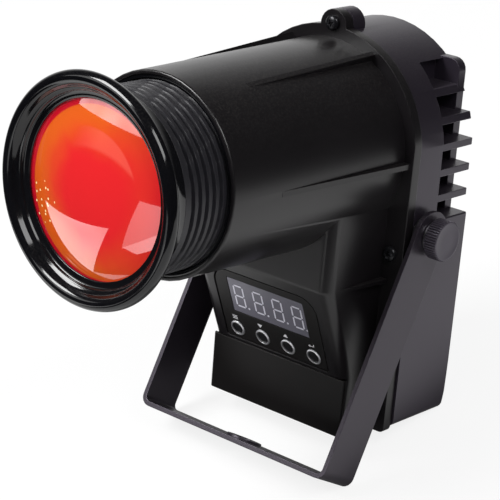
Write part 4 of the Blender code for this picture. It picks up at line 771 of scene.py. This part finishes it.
def build_buttons():
    """Each button's bright ring and its slightly domed cap."""
    ring = rounded([
        (3.6, -1.8, 0.1), (4.5, -1.8, 0.1), (4.5, -0.2, 0.15), (3.75, 0.12, 0.2), (3.6, 0.02, 0.05),
    ])
    cap = [
        (0.0, -2.4), (3.3, -2.4), (3.3, -0.62), (3.24, -0.46), (3.1, -0.34), (2.85, -0.26),
        (2.2, -0.23), (1.2, -0.21), (0.0, -0.2),
    ]
    for word, across in BUTTONS.items():
        add_piece(
            f"{word}_ring", moved(revolve(ring, 64), across, BUTTON_LINE), SLOPE, FINISH["button_ring"],
            "housing", f"{word}_button_ring",
        )
        add_piece(
            f"{word}_cap", moved(revolve(cap, 48), across, BUTTON_LINE), SLOPE, FINISH["button_cap"],
            f"{word}_button", f"{word}_button",
        )


def segment(x, y, length, upright):
    """One display segment: a bar with pointed ends."""
    half, tip = length / 2, SEGMENT_WIDTH / 2
    flat = half - tip
    outline = [(-half, 0), (-flat, -tip), (flat, -tip), (half, 0), (flat, tip), (-flat, tip)]
    return moved(slab(outline, 0.0, INK_DEPTH), x, y, WINDOW_FACE + 0.01, 90 if upright else 0)


def build_digits():
    """Four unlit seven-segment digits with their points, on the window."""
    bars = []
    inset = SEGMENT_WIDTH / 2
    half = DIGIT_HEIGHT / 2
    for left in DIGIT_LEFTS:
        middle = left + DIGIT_WIDTH / 2
        for level in (0, 1, 2):
            y = DIGIT_TOP - inset - level * (half - inset)
            bars.append(segment(middle, y, DIGIT_WIDTH - 2 * inset - SEGMENT_GAP, False))
        for x in (left + inset, left + DIGIT_WIDTH - inset):
            for level in (0, 1):
                y = DIGIT_TOP - inset - (half - inset) * (level + 0.5)
                bars.append(segment(x, y, half - inset - SEGMENT_GAP, True))
        spot = (left + DIGIT_WIDTH + 1.6, DIGIT_TOP - DIGIT_HEIGHT + 0.65)
        point = slab(arc(spot, POINT_RADIUS, 0, 337.5, 15), 0.0, INK_DEPTH)
        bars.append(moved(point, z=WINDOW_FACE + 0.01))
    add_piece(
        "display_digits", together(*bars), SLOPE, FINISH["digit_segment"], "housing"
    )


def build_glyphs():
    """A plain mark over each button: three lines, a down arrow, an up arrow and a return arrow."""
    def bar(x, y, width, height):
        left, right, low, high = x - width / 2, x + width / 2, y - height / 2, y + height / 2
        return [(left, low), (right, low), (right, high), (left, high)]

    marks = {
        "menu": [bar(0, level, 3.4, 0.36) for level in (-0.95, 0.0, 0.95)],
        "down": [[(-1.6, 1.0), (0, -1.1), (1.6, 1.0)]],
        "up": [[(-1.6, -1.0), (1.6, -1.0), (0, 1.1)]],
        "enter": [
            bar(0.45, -0.45, 2.5, 0.38), bar(1.6, 0.3, 0.38, 1.6),
            [(-2.0, -0.45), (-0.7, -1.3), (-0.7, 0.4)],
        ],
    }
    flat = []
    for word, outlines in marks.items():
        for outline in outlines:
            mark = slab(outline, 0.0, INK_DEPTH)
            flat.append(moved(mark, BUTTONS[word], GLYPH_LINE, PANEL_FACE + 0.01))
    add_piece("button_marks", together(*flat), SLOPE, FINISH["glyph_ink"], "housing")


# Screws, by their places across and up

SCREWS = {
    "top": (0.0, 58.0), "left": (-48.3, -47.7), "right": (48.3, -47.7),
    "lower_left": (-48.3, -130.0), "lower_right": (48.3, -130.0),
}
SOCKET_SCREWS = ((-36.5, -54.0), (-17.5, -78.0), (17.5, -54.0), (36.5, -78.0))


def cross_cutter(width, reach, depth, top):
    """The two arms of a tapered cross that cuts a screw's recess."""
    points = []
    for half, side, level in ((reach * 0.4, width * 0.35, top - depth), (reach, width / 2, top + 0.5)):
        points += [(x * half, y * side, level) for x, y in ((-1, -1), (1, -1), (1, 1), (-1, 1))]
    faces = [(3, 2, 1, 0), (4, 5, 6, 7), (0, 1, 5, 4), (1, 2, 6, 5), (2, 3, 7, 6), (3, 0, 4, 7)]
    return [moved((points, faces), turn=turn) for turn in (0, 90)]


def screw_mesh(radius, height, length):
    """A pan-head screw with a cross recess, as a mesh in millimetres on its own axis."""
    shank = radius * 0.41
    profile = [(0.0, -length), (shank, -length + 1.0), (shank, 0.0)]
    profile += [(radius * 0.96, 0.0), (radius, 0.12)]
    curve = ((1.0, 0.3), (0.96, 0.52), (0.84, 0.74), (0.64, 0.9), (0.38, 0.98), (0.0, 1.0))
    profile += [(radius * across, height * level) for across, level in curve]
    full_size = Matrix.Scale(1 / MM, 4)
    head = make_object("screw pattern", revolve(profile, 64), full_size, FINISH["black_steel"])
    cutters = []
    for arm in cross_cutter(radius * 0.3, radius * 0.62, height * 0.62, height):
        cutter = make_object("cross arm", arm, full_size, FINISH["black_steel"])
        cut = head.modifiers.new("cross", "BOOLEAN")
        cut.operation = "DIFFERENCE"
        cut.solver = "EXACT"
        cut.object = cutter
        cutters.append(cutter)
    bpy.context.view_layer.update()
    shape = head.evaluated_get(bpy.context.evaluated_depsgraph_get()).to_mesh()
    mesh = ([tuple(v.co) for v in shape.vertices], [tuple(p.vertices) for p in shape.polygons])
    for obj in [head] + cutters:
        bpy.data.objects.remove(obj, do_unlink=True)
    return mesh


def build_screws():
    """The housing screws, each turned its own way, and the small screws of the sockets."""
    housing = screw_mesh(3.9, 2.4, 13.0)
    for index, (word, (x, y)) in enumerate(SCREWS.items()):
        add_piece(
            f"{word}_screw", moved(housing, x, y, 0.3, 17.0 + 31 * index), LIGHT, FINISH["black_steel"],
            "housing", f"{word}_housing_screw",
        )
    small = screw_mesh(2.3, 1.3, 1.2)
    heads = []
    for number, (x, y) in enumerate(SOCKET_SCREWS):
        flipped = [(-px, py, -pz) for px, py, pz in small[0]]
        heads.append(moved((flipped, small[1]), x, y, REAR_FACE - 2.35, 23.0 * number))
    add_piece(
        "socket_screws", together(*heads), LIGHT, FINISH["plated_steel"], "housing"
    )


# Studio cards by name: brightness, and corners in millimetres in the row frame
CARDS = {
    "top card": (2.4, [
        (-1250, -850, 640), (-400, -1410, 818), (-400, -1410, 1700), (-1250, -850, 1500),
    ]),
    "floor card": (2.1, [(-524, -230, 12), (-299, -639, 12), (-159, -240, 12), (-300, -180, 12)]),
    "right card": (1.3, [(-40, -385, 190), (60, -410, 186), (60, -405, 100), (-105, -370, 55)]),
    "low right card": (2.6, [(-98, -362, 62), (60, -397, 142), (60, -395, 104), (-60, -370, 52)]),
}

# Softboxes by name: azimuth and elevation in degrees, distance, width and height in metres, watts
SOFTBOXES = {
    "key softbox": (-38, 52, 1.8, 0.9, 0.7, 36.0),
    "fill softbox": (80, 50, 1.9, 1.0, 0.8, 17.0),
}

# The line of sight over the floor, and the paper strip along it, in metres
PHOTO_LINE = Vector((-0.69, 0.72, 0.0))
FLOOR_NEAR = -0.5
FLOOR_FAR = 6.0
FLOOR_LEFT = -0.27
FLOOR_RIGHT = 0.42
FLOOR_SPREAD = 3
FLOOR_GLOW = 0.84
SURROUND_REACH = 9.0
SURROUND_LEVEL = -0.0004
FILL_LIGHT = 0.42

# The fitted camera: azimuth, elevation and roll in degrees, its place and its lens in millimetres
CAMERA_ANGLES = (40.229, 18.248, 4.522)
CAMERA_SPOT = (604.61, 259.26, 764.09)
CAMERA_LENS = 145.8


def bare_material(name):
    """A material without nodes yet, and the recipe that fills it."""
    shade = bpy.data.materials.new(name)
    shade.use_nodes = True
    shade.node_tree.nodes.clear()
    return shade, Recipe(shade.node_tree)


def add_sheet(name, corners, shade):
    """A flat sheet of the studio from four corners in metres."""
    data = bpy.data.meshes.new(name)
    data.from_pydata(corners, [], [(0, 1, 2, 3)])
    data.materials.append(shade)
    sheet = bpy.data.objects.new(name, data)
    bpy.context.scene.collection.objects.link(sheet)
    return sheet


def add_lamp(name, azimuth, elevation, distance, width, height, power):
    """A softbox that looks at the object. Azimuth 0 is in front of it and 90 on its right."""
    a, e = math.radians(azimuth), math.radians(elevation)
    middle = Vector((0, 0, 0.12))
    way = Vector((math.sin(a) * math.cos(e), -math.cos(a) * math.cos(e), math.sin(e)))
    data = bpy.data.lights.new(name, "AREA")
    data.shape = "RECTANGLE"
    data.size = width
    data.size_y = height
    data.energy = power
    lamp = bpy.data.objects.new(name, data)
    bpy.context.scene.collection.objects.link(lamp)
    lamp.location = middle + way * distance
    lamp.rotation_mode = "QUATERNION"
    lamp.rotation_quaternion = (-way).to_track_quat("-Z", "Y")


def add_card(name, corners, strength):
    """A bright card that the gloss surfaces mirror, uneven as a lit card is."""
    shade, recipe = bare_material(name)
    where = recipe.add("TexCoord").outputs["Object"]
    cloud = recipe.add("TexNoise", {"Vector": where, "Scale": 3.0, "Detail": 1.0}).outputs[0]
    level = recipe.span(cloud, 0.3, 0.7, strength * 0.65, strength * 1.2)
    glow = recipe.add("Emission", {"Strength": level})
    recipe.feed(recipe.add("OutputMaterial").inputs[0], glow.outputs[0])
    card = add_sheet(name, [Vector(corner) * MM for corner in corners], shade)
    card.visible_camera = False
    card.visible_diffuse = False
    card.visible_shadow = False


def floor_finish():
    """White to the eye and to gloss with a soft shadow, and a painted shadow that darkens it to gloss beneath the
    object.
    """
    shade, recipe = bare_material("studio floor")
    path = recipe.add("LightPath").outputs
    seen = recipe.sum("MAXIMUM", path["Is Camera Ray"], path["Is Glossy Ray"])
    seen = recipe.sum("MAXIMUM", seen, path["Is Transmission Ray"])
    where = recipe.add("TexCoord").outputs["Object"]
    spot = recipe.add("SeparateXYZ", {0: where}).outputs
    # painted shadow: a fixed dark patch beneath the object, seen only in what gloss mirrors
    beneath = [
        recipe.span(recipe.sum("ABSOLUTE", spot[axis]), reach, reach + 0.03, smooth=True)
        for axis, reach in (("X", 0.06), ("Y", 0.11))
    ]
    clear = recipe.sum("MAXIMUM", recipe.sum("MAXIMUM", *beneath), path["Is Camera Ray"])
    glow = recipe.span(clear, 0.0, 1.0, 0.1, 1.0)
    plain = recipe.add("BsdfDiffuse", {"Color": (0.82, 0.82, 0.82, 1.0)})
    white = recipe.add("Emission", {"Color": (1, 1, 1, 1), "Strength": glow})
    away = recipe.add("VectorMath", {0: where}, operation="LENGTH").outputs["Value"]
    fade = recipe.span(away, 0.35, 1.8, FLOOR_GLOW, 1.0, smooth=True)
    faded = recipe.sum("MULTIPLY", path["Is Camera Ray"], fade)
    share = recipe.sum("MAXIMUM", recipe.sum("MULTIPLY", seen, FLOOR_GLOW), faded)
    mixed = recipe.add("MixShader", {0: share, 1: plain.outputs[0], 2: white.outputs[0]})
    recipe.feed(recipe.add("OutputMaterial").inputs[0], mixed.outputs[0])
    return shade


def add_floor():
    """A strip of paper along the photograph's line of sight, and a surround that only the eye sees."""
    shade = floor_finish()
    across = Vector((PHOTO_LINE.y, -PHOTO_LINE.x, 0))
    corners = [PHOTO_LINE * FLOOR_NEAR + across * reach for reach in (FLOOR_LEFT, FLOOR_RIGHT)]
    corners += [
        PHOTO_LINE * FLOOR_FAR + across * reach * FLOOR_SPREAD for reach in (FLOOR_RIGHT, FLOOR_LEFT)
    ]
    floor = add_sheet("floor", corners, shade)
    square = ((-1, -1), (1, -1), (1, 1), (-1, 1))
    corners = [(x * SURROUND_REACH, y * SURROUND_REACH, SURROUND_LEVEL) for x, y in square]
    surround = add_sheet("floor surround", corners, shade)
    surround.visible_glossy = False
    surround.visible_diffuse = False
    surround.visible_transmission = False


def add_world():
    """White all round to the eye, a white backdrop behind the object to gloss, and a soft grey fill."""
    world = bpy.data.worlds.new("studio")
    bpy.context.scene.world = world
    world.use_nodes = True
    world.node_tree.nodes.clear()
    recipe = Recipe(world.node_tree)
    path = recipe.add("LightPath").outputs
    way = recipe.add("TexCoord").outputs["Generated"]
    along = recipe.add("VectorMath", {0: way, 1: PHOTO_LINE}, operation="DOT_PRODUCT")
    towards = along.outputs["Value"]
    height = recipe.add("SeparateXYZ", {0: way}).outputs["Z"]
    sweep = recipe.sum("MULTIPLY", recipe.span(towards, 0.55, 0.95), recipe.span(height, 0.75, 0.1))
    backdrop = recipe.span(sweep, 0.0, 1.0, 0.025, 0.9, smooth=True)
    gloss = recipe.sum("MAXIMUM", path["Is Glossy Ray"], path["Is Transmission Ray"])
    filled = recipe.add("Mix", {0: gloss, 2: FILL_LIGHT, 3: backdrop}, data_type="FLOAT").outputs[0]
    bright = recipe.sum("MAXIMUM", filled, path["Is Camera Ray"])
    sky = recipe.add("Background", {"Color": (1, 1, 1, 1), "Strength": bright})
    recipe.feed(recipe.add("OutputWorld").inputs[0], sky.outputs[0])


def add_camera():
    """The photograph's camera, fitted in the light's own frame: x across, y up, z forward."""
    azimuth, elevation, roll = (math.radians(value) for value in CAMERA_ANGLES)
    flat = math.cos(elevation)
    back = Vector((math.sin(azimuth) * flat, math.sin(elevation), math.cos(azimuth) * flat))
    right = Vector((0, 1, 0)).cross(back).normalized()
    up = back.cross(right)
    rolled_right = right * math.cos(roll) + up * math.sin(roll)
    rolled_up = up * math.cos(roll) - right * math.sin(roll)
    spot = Vector(CAMERA_SPOT) * MM
    local = Matrix([(*rolled_right, 0), (*rolled_up, 0), (*back, 0), (*spot, 1)]).transposed()
    data = bpy.data.cameras.new("camera")
    data.lens = CAMERA_LENS
    data.sensor_width = 36.0
    data.clip_start = 0.05
    data.clip_end = 30.0
    camera = bpy.data.objects.new("camera", data)
    bpy.context.scene.collection.objects.link(camera)
    camera.matrix_world = LIGHT @ local
    bpy.context.scene.camera = camera


def add_studio():
    """The camera, floor, world, cards and lamps."""
    add_camera()
    add_floor()
    add_world()
    for name, (strength, corners) in CARDS.items():
        add_card(name, corners, strength)
    for name, setting in SOFTBOXES.items():
        add_lamp(name, *setting)


finish_cad_nodes()
rounded_copy("front_housing", 0.4, "housing_plastic", "housing")
rounded_copy("rear_housing", 0.4, "heat_sink", "housing")
rounded_copy("bracket", 0.3, "bracket_steel", "bracket")
rounded_copy("control_panel", 0.25, "panel_plastic", "housing", slim=0.3)
build_lens_ring()
build_sleeve()
build_barrel_lip()
build_side_marks()
build_lens()
for side, word in SIDES:
    build_knob(side, word)
build_buttons()
build_digits()
build_glyphs()
build_screws()
add_studio()

bpy.context.scene.view_settings.view_transform = "Standard"
